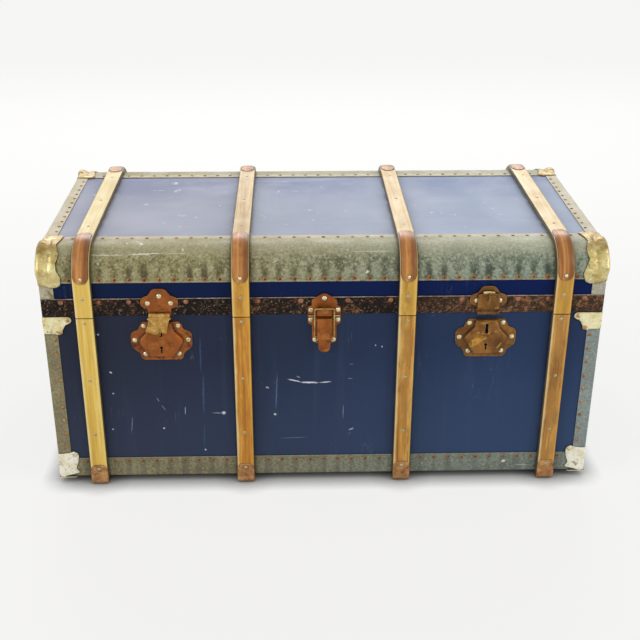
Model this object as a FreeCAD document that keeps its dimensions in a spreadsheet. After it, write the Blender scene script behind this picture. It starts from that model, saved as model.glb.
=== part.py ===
import FreeCAD, Part
import math
import os
from types import SimpleNamespace

from FreeCAD import Vector

# A slatted travelling trunk: blue plywood box and lid, fibre bindings, ash slats, steel band, two hasp
# locks, a centre draw bolt, three back hinges, two quadrant stays and a handle at each end.
# Millimetres. +X is to the right, +Y to the back, +Z up. The floor is z = 0 and the trunk stands over x = y = 0.

doc = FreeCAD.newDocument("trunk")

# ---------------------------------------------------------------------------------------------------------
# Driving dimensions

SIZES = (
    ("trunk_length", 914, "left to right over the bindings"),
    ("trunk_depth", 464, "front to back over the bindings"),
    ("ground_clearance", 12, "floor to the underside of the box"),
    ("body_height", 307, "underside of the box to the seam"),
    ("lid_height", 109, "seam to the flat top"),
    ("bend_radius", 48, "front and back top bends, over the bindings"),
    ("wall", 7, "plywood of the sides and the lid"),
    ("floor_thick", 7, "plywood of the floor"),
    ("lining_thick", 1, "paper-covered card inside"),
    ("lining_gap", 2, "rim strip's top to the lid's lining"),
    ("skin_thick", 1.2, "fibre bindings and the steel band"),
    ("seam_gap", 0.8, "open seam between lid trim and body trim"),
    ("tongue_thick", 6, "wooden strip inside the rim"),
    ("tongue_above", 12, "strip above the seam"),
    ("tongue_below", 22, "strip below the seam"),
    ("corner_strip_width", 22, "upright fibre strip, each leg"),
    ("bottom_strip_height", 37, "fibre strip up the sides"),
    ("bottom_strip_under", 30, "fibre strip under the box"),
    ("bend_strip_drop", 51, "top of the lid down to the strip's lower edge"),
    ("bend_strip_top", 76, "front or back face to the strip's edge on top"),
    ("end_strip_top", 20, "fibre strip along the ends of the top"),
    ("band_height", 30, "steel band on the lid"),
    ("slat_width", 29, "ash slats"),
    ("slat_thick", 9, "ash slats"),
    ("slat_round", 2.5, "rounded outer edges of the slats"),
    ("slat_inset", 69, "end of the trunk to the outer slats' centre"),
    ("slat_spacing", 253, "outer slats' centre to the inner slats' centre"),
    ("slat_back_gap", 7, "back slats stop short of the seam, each side"),
    ("bend_cap_width", 26, "pressed cap over a slat's bend"),
    ("bend_cap_thick", 2.4, "crown of that cap"),
    ("bend_cap_front", 1, "cap below the bend"),
    ("bend_cap_top", 21, "cap past the bend on top"),
    ("bend_cap_round", 1.7, "rounded long edges of that cap"),
    ("bend_cap_rivet", 9, "cap's lower end to its rivet, round the bend"),
    ("shoe_thick", 1.2, "steel shoe under each slat"),
    ("shoe_height", 40, "floor to the shoe's upper edge"),
    ("shoe_under", 45, "shoe along the underside"),
    ("foot_round", 8, "front and back ends of the runners, rounded under"),
    ("cap_thick", 1.5, "brass corner pieces"),
    ("lid_cap_width", 33, "lid corner piece, each leg"),
    ("lid_cap_drop", 9, "lid corner piece below the bend"),
    ("lid_cap_top", 100, "lid corner piece, front to its upper edge"),
    ("lid_cap_bead", 7, "radius of the bead along the lid corner"),
    ("bead_inset", 2, "corner back to the bead's middle"),
    ("lid_cap_scallop", 5, "depth of the wave in its edge"),
    ("rim_plate_width", 45, "corner plate at the rim of the body"),
    ("rim_plate_height", 32, "corner plate at the rim of the body"),
    ("rim_plate_edge", 11, "corner plate's upright outer edge"),
    ("rim_plate_foot", 30.6, "corner plate's width at its foot"),
    ("foot_cap_width", 33, "corner piece at the bottom, widest"),
    ("foot_cap_waist", 26, "corner piece at the bottom, narrowest"),
    ("foot_cap_height", 50, "corner piece above the underside"),
    ("lock_from_slat", 121, "outer slats' centre to a lock's centre"),
    ("lock_drop", 44, "seam down to the lock's centre"),
    ("lock_half_width", 50, "lock plate"),
    ("lock_rise", 33, "lock plate above its centre"),
    ("lock_fall", 36, "lock plate below its centre"),
    ("plate_thick", 1.5, "lock, hasp and draw bolt plates"),
    ("boss_half_width", 37, "raised lock case"),
    ("boss_fall", 28, "raised lock case below its centre"),
    ("boss_height", 7, "raised lock case in front of its plate"),
    ("boss_round", 2.5, "rounded front edges of the lock case"),
    ("key_drop", 11, "lock's centre down to the keyhole's round part"),
    ("key_radius", 2.6, "keyhole's round part"),
    ("key_width", 2.4, "keyhole's slot"),
    ("key_length", 10, "keyhole's slot, down from its round part"),
    ("hasp_rise", 2, "lid's lower edge up to the hasp's hinge"),
    ("hasp_plate_height", 45, "hasp plate above its hinge"),
    ("hasp_plate_half", 30, "hasp plate"),
    ("strap_width", 35, "hasp strap"),
    ("strap_length", 33, "hasp strap below its hinge"),
    ("strap_thick", 2, "hasp strap"),
    ("hasp_knuckle", 3, "radius of the hasp's knuckles"),
    ("hasp_pin", 1.2, "radius of the hasp's pin"),
    ("staple_radius", 6.5, "outside of the staple's half ring"),
    ("staple_eye", 4.6, "inside of the staple's half ring"),
    ("staple_width", 2.6, "staple, across"),
    ("staple_drop", 27.5, "hasp hinge down to the staple's centre"),
    ("slot_width", 5, "slot for the staple"),
    ("slot_height", 18, "slot for the staple"),
    ("bolt_width", 2, "lock bolt, front to back"),
    ("bolt_height", 4, "lock bolt, up and down"),
    ("bolt_length", 16, "lock bolt"),
    ("bolt_back", 5, "lock bolt's end, drawn back, from the slot's middle"),
    ("bolt_throw", 9, "how far the lock bolt slides"),
    ("bolt_depth", 3.1, "front of the lock case back to the bolt's middle"),
    ("bolt_fit", 0.15, "clearance around the lock bolt"),
    ("hasp_left_angle", 14, "left hasp hangs this far off its lock"),
    ("hasp_right_angle", 178, "right hasp is folded up this far, and leans back"),
    ("draw_half_width", 27, "draw bolt plates"),
    ("draw_foot_half", 20, "draw bolt base, lower part"),
    ("draw_top", 37, "catch plate above the seam"),
    ("draw_fall", 53, "draw bolt base below the seam"),
    ("catch_half_width", 11.5, "catch nose and lever"),
    ("catch_low", 1.5, "seam to the underside of the nose"),
    ("catch_high", 11.5, "seam to the nose's seat for the bail"),
    ("catch_lip", 2.2, "lip above that seat"),
    ("catch_reach", 7.5, "nose in front of its plate"),
    ("catch_lip_thick", 2, "lip, front to back"),
    ("lever_pivot_drop", 8, "seam down to the lever's pin"),
    ("lever_pivot_out", 5.8, "base plate out to the lever's pin"),
    ("lever_above", 3.6, "lever above its pin"),
    ("lever_below", 34, "lever body below its pin"),
    ("lever_tab", 22, "finger tab below the lever body"),
    ("lever_tab_half", 9.5, "finger tab"),
    ("lever_thick", 1.8, "lever plate"),
    ("lever_pin", 1.5, "radius of the lever's pin"),
    ("lever_gap", 0.8, "lever's pin to the back of its front plate"),
    ("cheek_back", 2.6, "lever's cheeks behind its pin"),
    ("cheek_step", 0.6, "lever's cheeks below its top"),
    ("ear_round", 3, "radius of the ears around the lever's pin"),
    ("ear_thick", 1.5, "ears that hold the lever's pin"),
    ("bail_wire", 1.2, "radius of the bail's wire"),
    ("bail_bend", 4, "bends between the bail's sides and its top bar"),
    ("bail_half_width", 16, "middle to the bail's sides"),
    ("bail_length", 51.5, "bail's pivot to its top bar"),
    ("bail_pivot_below", 29, "lever's pin down to the bail's pivot"),
    ("bail_angle", 5.5, "bail leans this far out of the catch"),
    ("hinge_width", 54, "back hinges"),
    ("hinge_leaf_height", 38, "back hinge leaves"),
    ("hinge_leaf_thick", 1.6, "back hinge leaves"),
    ("hinge_knuckle", 5, "radius of the back hinge knuckles"),
    ("hinge_pin", 2.4, "radius of the back hinge pins"),
    ("stay_radius", 150, "quadrant stay, hinge line to its middle"),
    ("stay_width", 10, "quadrant stay"),
    ("stay_thick", 2.5, "quadrant stay"),
    ("stay_top_angle", 11, "quadrant above the seam, degrees"),
    ("stay_end_angle", 83.3, "quadrant below the seam, degrees"),
    ("keeper_angle", 3, "keeper's middle below the seam, degrees"),
    ("keeper_half_angle", 1.2, "keeper, half its width, degrees"),
    ("keeper_sheet", 1.5, "sheet of the keeper"),
    ("stop_angle", 1.2, "stop at the quadrant's end, degrees"),
    ("stop_thick", 1.5, "stop, inwards from the quadrant"),
    ("stay_foot_angle", 8, "foot that fixes the quadrant to the lid, degrees"),
    ("stay_foot_margin", 6, "foot past each side of the quadrant"),
    ("stay_foot_above", 4, "foot above the rim strip"),
    ("handle_drop", 52, "handle's pivot down to its grip"),
    ("handle_half_span", 92, "middle to a handle's loops"),
    ("handle_grip", 6.5, "radius of the handle"),
    ("handle_eye", 7, "radius of the handle's eyes"),
    ("eye_half", 7, "handle's eye, half its width"),
    ("lug_round", 5.5, "radius of the loops' lugs"),
    ("handle_bend", 26, "bend between grip and legs"),
    ("handle_z", 215, "height of the handle's pivots"),
    ("handle_out", 12, "end board out to the handle's pivots"),
    ("handle_pin", 3, "radius of the handle's pins"),
    ("loop_width", 26, "handle loop plates"),
    ("loop_height", 44, "handle loop plates"),
    ("loop_thick", 2, "handle loop plates and lugs"),
    ("pin_fit", 0.1, "running clearance of every pin"),
    ("side_fit", 0.4, "clearance beside knuckles, lugs and the lever"),
    ("nail_pitch", 24, "nails in the fibre"),
    ("nail_radius", 3, "nails in the fibre"),
    ("nail_height", 1.5, "nails in the fibre"),
    ("nail_inset", 5, "nails from the fibre's edge"),
    ("bottom_nail_inset", 7, "nails from the bottom fibre's upper edge"),
    ("top_nail_inset", 10, "nails on top from the long fibre's edge"),
    ("corner_clear", 48, "corner to the first nail of a row"),
    ("band_rivet_drop", 6.5, "band's upper edge to its rivets"),
    ("end_rivet_clear", 60, "corner to the first band rivet on the ends"),
    ("end_rivet_pitch", 65, "band rivets on the ends"),
    ("slat_nail_first", 9, "seam down to a slat's first nail"),
    ("slat_nail_last", 61, "shoe up to a slat's last nail"),
    ("slat_nail_pitch", 104, "nails in the slats"),
    ("slat_nail_band", 33, "lower end of a lid slat to its first nail"),
    ("cap_nail_gap", 31, "bend cap's end to a slat's first nail on top"),
    ("top_nail_pitch", 132, "nails in the slats on top"),
    ("slat_nail_radius", 2.8, "nails in the slats"),
    ("slat_nail_height", 1.1, "nails in the slats"),
    ("rivet_radius", 4, "rivets of the fittings"),
    ("rivet_height", 1.8, "rivets of the fittings"),
)

dims = doc.addObject("Spreadsheet::Sheet", "dims")
for row, (name, value, note) in enumerate(SIZES, start=1):
    dims.set(f"A{row}", name)
    dims.set(f"B{row}", str(value))
    dims.set(f"C{row}", note)
    dims.setAlias(f"B{row}", name)

# Places worked out from them: planes and axes that several pieces share.
PLACES = (
    ("face_x", "dims.trunk_length / 2"),
    ("face_y", "dims.trunk_depth / 2"),
    ("seam_z", "dims.ground_clearance + dims.body_height"),
    ("top_z", "seam_z + dims.lid_height"),
    ("skin_x", "face_x - dims.skin_thick"),
    ("skin_y", "face_y - dims.skin_thick"),
    ("skin_top", "top_z - dims.skin_thick"),
    ("skin_base", "dims.ground_clearance + dims.skin_thick"),
    ("skin_bend", "dims.bend_radius - dims.skin_thick"),
    ("inside_x", "skin_x - dims.wall"),
    ("inside_y", "skin_y - dims.wall"),
    ("inside_top", "skin_top - dims.wall"),
    ("inside_base", "skin_base + dims.floor_thick"),
    ("inside_bend", "skin_bend - dims.wall"),
    ("lined_x", "inside_x - dims.lining_thick"),
    ("lined_y", "inside_y - dims.lining_thick"),
    ("lined_top", "inside_top - dims.lining_thick"),
    ("lined_base", "inside_base + dims.lining_thick"),
    ("lined_bend", "inside_bend - dims.lining_thick"),
    ("tongue_top", "seam_z + dims.tongue_above"),
    ("lid_low", "seam_z + dims.seam_gap"),
    ("band_top", "lid_low + dims.band_height"),
    ("bottom_strip_top", "dims.ground_clearance + dims.bottom_strip_height"),
    ("bend_strip_low", "top_z - dims.bend_strip_drop"),
    ("slat_y", "face_y + dims.slat_thick"),
    ("slat_top", "top_z + dims.slat_thick"),
    ("slat_bend", "dims.bend_radius + dims.slat_thick"),
    ("slat_outer_x", "face_x - dims.slat_inset"),
    ("slat_inner_x", "slat_outer_x - dims.slat_spacing"),
    ("lock_x", "slat_outer_x - dims.lock_from_slat"),
    ("bend_y", "face_y - dims.bend_radius"),
    ("bend_z", "top_z - dims.bend_radius"),
    ("lock_z", "seam_z - dims.lock_drop"),
    ("lock_front", "skin_y + dims.plate_thick + dims.boss_height"),
    ("hasp_z", "lid_low + dims.hasp_rise"),
    ("hasp_y", "lock_front + dims.strap_thick - dims.hasp_knuckle"),
    ("staple_z", "hasp_z - dims.staple_drop"),
    ("lever_z", "seam_z - dims.lever_pivot_drop"),
    ("lever_y", "skin_y + dims.plate_thick + dims.lever_pivot_out"),
    ("bail_z", "lever_z - dims.bail_pivot_below"),
    ("hinge_y", "face_y + dims.hinge_leaf_thick + dims.hinge_knuckle"),
    ("handle_x", "skin_x + dims.handle_out"),
)

at = doc.addObject("Spreadsheet::Sheet", "at")
for row, (name, formula) in enumerate(PLACES, start=1):
    at.set(f"A{row}", name)
    at.set(f"B{row}", "=" + formula)
    at.setAlias(f"B{row}", name)
doc.recompute()

size = SimpleNamespace(**{name: float(dims.get(name)) for name, value, note in SIZES})
place = SimpleNamespace(**{name: float(at.get(name)) for name, formula in PLACES})

SLATS = (-place.slat_outer_x, -place.slat_inner_x, place.slat_inner_x, place.slat_outer_x)
SLAT_PLACES = ("-at.slat_outer_x", "-at.slat_inner_x", "at.slat_inner_x", "at.slat_outer_x")
SIDES = (-1, 1)

nodes = []


# ---------------------------------------------------------------------------------------------------------
# Helpers

def box(name, x, y, z):
    """A box between two expressions along each axis."""
    item = doc.addObject("Part::Box", name)
    for prop, letter, (low, high) in (("Length", "x", x), ("Width", "y", y), ("Height", "z", z)):
        item.setExpression(prop, f"({high}) - ({low})")
        item.setExpression(f"Placement.Base.{letter}", low)
    item.recompute()
    return item


def both(half):
    """The pair of expressions of a span that is centred on zero."""
    return f"-({half})", half


def about(middle, half):
    """The pair of expressions of a span around a middle."""
    return f"({middle}) - ({half})", f"({middle}) + ({half})"


def rounded(name, base, radius, chosen):
    """The base with the edges that chosen accepts rounded."""
    item = doc.addObject("Part::Fillet", name)
    item.Base = base
    picks = [n for n, edge in enumerate(base.Shape.Edges, start=1) if chosen(edge)]
    item.Edges = [(n, radius, radius) for n in picks]
    doc.recompute()
    return item


def cut(name, base, tool):
    item = doc.addObject("Part::Cut", name)
    item.Base = base
    item.Tool = tool
    doc.recompute()
    return item


def common(name, base, tool):
    item = doc.addObject("Part::Common", name)
    item.Base = base
    item.Tool = tool
    doc.recompute()
    return item


def fuse(name, items):
    item = doc.addObject("Part::MultiFuse", name)
    item.Shapes = items
    item.Refine = True
    doc.recompute()
    return item


def group(name, items):
    item = doc.addObject("Part::Compound", name)
    item.Links = items
    doc.recompute()
    return item


def mirror(name, source, normal):
    item = doc.addObject("Part::Mirroring", name)
    item.Source = source
    item.Normal = normal
    doc.recompute()
    return item


def feature(name, shape):
    item = doc.addObject("Part::Feature", name)
    item.Shape = shape
    return item


def node(label, item):
    """Marks an object as one of the trunk's nodes."""
    item.Label = label
    nodes.append(item)
    return item


def left_and_right(label, source):
    twin = mirror(label + "_twin", source, Vector(1, 0, 0))
    return node(label, group(label, [source, twin]))


def four_corners(label, source):
    twin = mirror(label + "_right", source, Vector(1, 0, 0))
    front = group(label + "_front", [source, twin])
    back = mirror(label + "_back", front, Vector(0, 1, 0))
    return node(label, group(label, [front, back]))


def along_x(edge):
    direction = edge.Vertexes[-1].Point - edge.Vertexes[0].Point
    return abs(direction.y) + abs(direction.z) < 1e-6


def top_bend_edge(height):
    """Accepts the edges along X at a height."""
    return lambda edge: along_x(edge) and abs(edge.CenterOfMass.z - height) < 1e-6


def arch(name, x, half_depth, low, top, radius):
    """A block along X whose front and back top edges are bent to a radius."""
    block = box(name + "_block", x, both(half_depth), (low, top))
    top_z = block.Shape.BoundBox.ZMax
    return rounded(name, block, radius, top_bend_edge(top_z))


def outline(corners, to_space):
    """A closed wire through (a, b, radius) corners, each rounded by its radius."""
    points = [to_space(a, b) for a, b, radius in corners]
    edges = []
    starts = []
    ends = []
    arcs = []
    count = len(points)
    for n, (a, b, radius) in enumerate(corners):
        here = points[n]
        before = (points[n - 1] - here).normalize()
        after = (points[(n + 1) % count] - here).normalize()
        if radius == 0:
            starts.append(here)
            ends.append(here)
            arcs.append(None)
            continue
        half = before.getAngle(after) / 2
        reach = radius / math.tan(half)
        bisector = (before + after).normalize()
        centre = here + bisector * (radius / math.sin(half))
        start, end = here + before * reach, here + after * reach
        starts.append(start)
        ends.append(end)
        arcs.append(Part.Arc(start, centre - bisector * radius, end).toShape())
    for n in range(count):
        if arcs[n]:
            edges.append(arcs[n])
        following = starts[(n + 1) % count]
        if (following - ends[n]).Length > 1e-6:
            edges.append(Part.LineSegment(ends[n], following).toShape())
    return Part.Wire(edges)


def symmetric(half):
    """A whole outline from its right half, listed from the top down."""
    return list(half) + [(-a, b, radius) for a, b, radius in reversed(half)]


def front_plate(corners, x, z, back_y, thick):
    """A plate on the front, drawn about (x, z), from back_y outwards."""
    wire = outline(corners, lambda a, b: Vector(x + a, -back_y, z + b))
    return Part.Face(wire).extrude(Vector(0, -thick, 0))


def block(x, y, z):
    """A plain block between two numbers along each axis."""
    corner = Vector(min(x), min(y), min(z))
    return Part.makeBox(abs(x[1] - x[0]), abs(y[1] - y[0]), abs(z[1] - z[0]), corner)


def rod_x(x, y, z, radius):
    """A round rod along X between two numbers."""
    return Part.makeCylinder(radius, x[1] - x[0], Vector(x[0], y, z), Vector(1, 0, 0))


def rod_y(x, y, z, radius):
    return Part.makeCylinder(radius, y[1] - y[0], Vector(x, y[0], z), Vector(0, 1, 0))


def dome(centre, outwards, radius, height):
    """A nail or rivet head: a slice of a ball that stands on centre."""
    ball = (radius ** 2 + height ** 2) / (2 * height)
    latitude = math.degrees(math.asin((ball - height) / ball))
    middle = centre - outwards * (ball - height)
    return Part.makeSphere(ball, middle, outwards, latitude, 90, 360)


def nail(centre, outwards):
    return dome(centre, outwards, size.nail_radius, size.nail_height)


def slat_nail(centre, outwards):
    return dome(centre, outwards, size.slat_nail_radius, size.slat_nail_height)


def rivet(centre, outwards):
    return dome(centre, outwards, size.rivet_radius, size.rivet_height)


def row(low, high, pitch):
    """Even places between two numbers, about a pitch apart, with both ends."""
    count = max(1, round((high - low) / pitch))
    return [low + (high - low) * n / count for n in range(count + 1)]


def clear_of_slats(x, radius):
    return all(abs(x - slat) > size.slat_width / 2 + radius for slat in SLATS)


FRONT, BACK, UP = Vector(0, -1, 0), Vector(0, 1, 0), Vector(0, 0, 1)
LEFT, RIGHT = Vector(-1, 0, 0), Vector(1, 0, 0)

# ---------------------------------------------------------------------------------------------------------
# Body: five boards, the lining and the strip inside the rim

BODY_Z = ("at.skin_base", "at.seam_z")
node("body_front_panel", box("body_front_panel", both("at.skin_x"), ("-at.skin_y", "-at.inside_y"), BODY_Z))
node("body_back_panel", box("body_back_panel", both("at.skin_x"), ("at.inside_y", "at.skin_y"), BODY_Z))
node("body_left_panel", box("body_left_panel", ("-at.skin_x", "-at.inside_x"), both("at.inside_y"), BODY_Z))
node("body_right_panel", box("body_right_panel", ("at.inside_x", "at.skin_x"), both("at.inside_y"), BODY_Z))
node("body_floor", box("body_floor", both("at.inside_x"), both("at.inside_y"), ("at.skin_base", "at.inside_base")))

lining_block = box("lining_block", both("at.inside_x"), both("at.inside_y"), ("at.inside_base", "at.seam_z"))
lining_space = box("lining_space", both("at.lined_x"), both("at.lined_y"), ("at.lined_base", "at.seam_z + 1"))
node("body_lining", cut("body_lining", lining_block, lining_space))

TONGUE_Z = ("at.seam_z - dims.tongue_below", "at.tongue_top")
TONGUE_Y = ("at.lined_y - dims.tongue_thick", "at.lined_y")
TONGUE_X = ("at.lined_x - dims.tongue_thick", "at.lined_x")
tongue_back = box("tongue_back", both("at.lined_x"), TONGUE_Y, TONGUE_Z)
tongue_right = box("tongue_right", TONGUE_X, both(TONGUE_Y[0]), TONGUE_Z)
tongue_front = mirror("tongue_front", tongue_back, BACK)
tongue_left = mirror("tongue_left", tongue_right, RIGHT)
node("rim_tongue", group("rim_tongue", [tongue_back, tongue_front, tongue_left, tongue_right]))

# ---------------------------------------------------------------------------------------------------------
# Body: fibre bindings, slats, runners and shoes

CORNER_Z = ("at.bottom_strip_top", "at.seam_z - dims.seam_gap")
LEG_X = ("at.face_x - dims.corner_strip_width", "at.face_x")
LEG_Y = ("-at.face_y", "dims.corner_strip_width - at.face_y")
corner_block = box("corner_block", LEG_X, LEG_Y, CORNER_Z)
skin_block = box("skin_block", both("at.skin_x"), both("at.skin_y"), ("0", "at.top_z"))
four_corners("binding_corners", cut("corner_strip", corner_block, skin_block))

above_strip = box("above_strip", both("at.skin_x"), both("at.skin_y"), ("at.skin_base", "at.top_z"))
bottom_front_block = box(
    "bottom_front_block",
    both("at.face_x"),
    ("-at.face_y", "dims.bottom_strip_under - at.face_y"),
    ("dims.ground_clearance", "at.bottom_strip_top"),
)
bottom_front = cut("binding_bottom_front", bottom_front_block, above_strip)
node("binding_bottom_front", bottom_front)
bottom_back = node("binding_bottom_back", mirror("binding_bottom_back", bottom_front, BACK))

bottom_end_block = box(
    "bottom_end_block",
    ("at.face_x - dims.bottom_strip_under", "at.face_x"),
    both("at.face_y - dims.bottom_strip_under"),
    ("dims.ground_clearance", "at.bottom_strip_top"),
)
left_and_right("binding_bottom_ends", cut("bottom_end", bottom_end_block, above_strip))


def slat_edges(edge):
    """The long outer edges of a slat, front, top and back."""
    middle = edge.CenterOfMass
    outer = abs(middle.y) > place.face_y + 1e-3 or middle.z > place.top_z + 1e-3
    return outer and abs(edge.Vertexes[0].X - edge.Vertexes[-1].X) < 1e-6


def upright_outer(edge):
    direction = edge.Vertexes[-1].Point - edge.Vertexes[0].Point
    upright = abs(direction.x) + abs(direction.y) < 1e-6
    return upright and abs(edge.CenterOfMass.y) > place.face_y + 1e-3


def runner_ends(edge):
    """The lower edges along X, front and back."""
    return along_x(edge) and abs(edge.CenterOfMass.z - size.shoe_thick) < 1e-6


back_slats = []
runners = []
for number, middle in enumerate(SLAT_PLACES, start=1):
    across = about(middle, "dims.slat_width / 2")
    front = box(
        f"slat_front_{number}_block",
        across,
        ("-at.slat_y", "-at.face_y"),
        ("dims.ground_clearance", "at.seam_z - dims.seam_gap"),
    )
    node(f"slat_front_{number}", rounded(f"slat_front_{number}", front, size.slat_round, upright_outer))
    back = box(
        f"slat_back_{number}_block",
        across,
        ("at.face_y", "at.slat_y"),
        ("dims.ground_clearance", "at.seam_z - dims.slat_back_gap"),
    )
    back_slats.append(rounded(f"slat_back_{number}", back, size.slat_round, upright_outer))
    runner = box(f"runner_{number}_block", across, both("at.slat_y"), ("dims.shoe_thick", "dims.ground_clearance"))
    runners.append(rounded(f"runner_{number}", runner, size.foot_round, runner_ends))
node("slats_back", group("slats_back", back_slats))
node("bottom_runners", group("bottom_runners", runners))

# A shoe is bent from sheet: up the front of the slat, round its foot and along the underside of the runner.
def shoe_bend(edge):
    point = edge.CenterOfMass
    return along_x(edge) and point.z < 1e-6 and abs(point.y + place.slat_y + size.shoe_thick) < 1e-6


shoes = []
for number, middle in enumerate(SLAT_PLACES, start=1):
    across = about(middle, "dims.slat_width / 2")
    whole = box(
        f"shoe_{number}_block",
        across,
        ("-at.slat_y - dims.shoe_thick", "dims.shoe_under - at.slat_y"),
        ("0", "dims.shoe_height"),
    )
    bent = rounded(f"shoe_{number}_bent", whole, size.foot_round + size.shoe_thick, shoe_bend)
    inside = box(f"shoe_{number}_inside", across, both("at.slat_y"), ("dims.shoe_thick", "dims.shoe_height + 1"))
    filled = rounded(f"shoe_{number}_filled", inside, size.foot_round, runner_ends)
    shoes.append(cut(f"shoe_{number}", bent, filled))
front_shoes = group("front_shoes", shoes)
node("slat_foot_caps", group("slat_foot_caps", [front_shoes, mirror("back_shoes", front_shoes, BACK)]))

# ---------------------------------------------------------------------------------------------------------
# Lid: bent shell, two end boards, lining and steel band

SHELL = ("at.seam_z", "at.skin_top")
shell_block = arch("shell_block", both("at.skin_x"), "at.skin_y", *SHELL, place.skin_bend)
shell_space = arch("shell_space", both("at.skin_x"), "at.inside_y", "at.seam_z", "at.inside_top", place.inside_bend)
node("lid_shell", cut("lid_shell", shell_block, shell_space))

for side, across in (("left", ("-at.skin_x", "-at.inside_x")), ("right", ("at.inside_x", "at.skin_x"))):
    end = arch(f"lid_end_{side}", across, "at.inside_y", "at.seam_z", "at.inside_top", place.inside_bend)
    node(f"lid_end_{side}", end)

LID_LINING_LOW = "at.tongue_top + dims.lining_gap"
lid_lining_block = arch(
    "lid_lining_block", both("at.inside_x"), "at.inside_y", LID_LINING_LOW, "at.inside_top", place.inside_bend
)
lid_lining_space = arch(
    "lid_lining_space", both("at.lined_x"), "at.lined_y", LID_LINING_LOW, "at.lined_top", place.lined_bend
)
node("lid_lining", cut("lid_lining", lid_lining_block, lid_lining_space))

band_block = box("band_block", both("at.face_x"), both("at.face_y"), ("at.lid_low", "at.band_top"))
node("lid_band", cut("lid_band", band_block, skin_block))

# ---------------------------------------------------------------------------------------------------------
# Lid: fibre bindings

over_block = arch("over_block", both("at.face_x"), "at.face_y", "at.seam_z", "at.top_z", size.bend_radius)
long_shell = arch("long_shell", both("at.face_x + 1"), "at.skin_y", "at.seam_z", "at.skin_top", place.skin_bend)
fibre_skin = cut("fibre_skin", over_block, long_shell)

front_zone = box(
    "front_zone",
    both("at.face_x"),
    ("-at.face_y", "dims.bend_strip_top - at.face_y"),
    ("at.bend_strip_low", "at.top_z"),
)
back_zone = box(
    "back_zone",
    both("at.face_x"),
    ("at.face_y - dims.bend_strip_top", "at.face_y"),
    ("at.bend_strip_low", "at.top_z"),
)
node("binding_lid_front", common("binding_lid_front", fibre_skin, front_zone))
node("binding_lid_back", common("binding_lid_back", fibre_skin, back_zone))

end_whole = arch("end_whole", ("at.skin_x", "at.face_x"), "at.skin_y", "at.band_top", "at.skin_top", place.skin_bend)
end_hollow = arch(
    "end_hollow",
    ("at.skin_x", "at.face_x"),
    "at.skin_y - dims.corner_strip_width",
    "at.band_top",
    "at.skin_top - dims.corner_strip_width",
    place.skin_bend - size.corner_strip_width,
)
end_rim = cut("end_rim", end_whole, end_hollow)
end_top = box(
    "end_top",
    ("at.face_x - dims.end_strip_top", "at.face_x"),
    both("at.face_y - dims.bend_strip_top"),
    ("at.skin_top", "at.top_z"),
)
UPRIGHT_Z = ("at.band_top", "at.bend_strip_low")
end_front = box("end_front", LEG_X, ("-at.face_y", "-at.skin_y"), UPRIGHT_Z)
end_back = box("end_back", LEG_X, ("at.skin_y", "at.face_y"), UPRIGHT_Z)
left_and_right("binding_lid_ends", fuse("lid_end_strip", [end_rim, end_top, end_front, end_back]))

# ---------------------------------------------------------------------------------------------------------
# Lid: slats bent over the top, and the pressed caps on their bends

def over_slat(point):
    """How far a point at the front lies outside the slats' outer surface."""
    if point.y < -place.bend_y and point.z > place.bend_z:
        return Vector(0, point.y + place.bend_y, point.z - place.bend_z).Length - place.slat_bend
    return max(-place.slat_y - point.y, point.z - place.slat_top)


def crown_edges(edge):
    """Accepts the long outer edges of a bend cap."""
    ends = [vertex.Point for vertex in edge.Vertexes]
    sideways = abs(ends[0].x - ends[-1].x) > 1e-6
    return not sideways and all(over_slat(point) > size.bend_cap_thick / 2 for point in ends)


bend_caps = []
for number, middle in enumerate(SLAT_PLACES, start=1):
    across = about(middle, "dims.slat_width / 2")
    outer = arch(f"lid_slat_{number}_outer", across, "at.slat_y", "at.lid_low", "at.slat_top", place.slat_bend)
    inner = arch(f"lid_slat_{number}_inner", across, "at.face_y", "at.lid_low", "at.top_z", size.bend_radius)
    bent = cut(f"lid_slat_{number}_bent", outer, inner)
    short = box(
        f"lid_slat_{number}_short",
        across,
        ("at.face_y", "at.slat_y"),
        ("at.lid_low", "at.seam_z + dims.slat_back_gap"),
    )
    trimmed = cut(f"lid_slat_{number}_trimmed", bent, short)
    node(f"lid_slat_{number}", rounded(f"lid_slat_{number}", trimmed, size.slat_round, slat_edges))

    width = about(middle, "dims.bend_cap_width / 2")
    cap_outer = arch(
        f"bend_cap_{number}_outer",
        width,
        "at.slat_y + dims.bend_cap_thick",
        "at.seam_z",
        "at.slat_top + dims.bend_cap_thick",
        place.slat_bend + size.bend_cap_thick,
    )
    cap_inner = arch(f"bend_cap_{number}_inner", width, "at.slat_y", "at.seam_z", "at.slat_top", place.slat_bend)
    cap_all = cut(f"bend_cap_{number}_all", cap_outer, cap_inner)
    cap_zone = box(
        f"bend_cap_{number}_zone",
        width,
        ("-at.slat_y - dims.bend_cap_thick", "dims.bend_cap_top - at.bend_y"),
        ("at.bend_z - dims.bend_cap_front", "at.slat_top + dims.bend_cap_thick"),
    )
    cap_plain = common(f"bend_cap_{number}_plain", cap_all, cap_zone)

    bend_caps.append(rounded(f"bend_cap_{number}", cap_plain, size.bend_cap_round, crown_edges))
front_bend_caps = group("front_bend_caps", bend_caps)
node("slat_bend_caps", group("slat_bend_caps", [front_bend_caps, mirror("back_bend_caps", front_bend_caps, BACK)]))

# ---------------------------------------------------------------------------------------------------------
# Brass corner pieces

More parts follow.
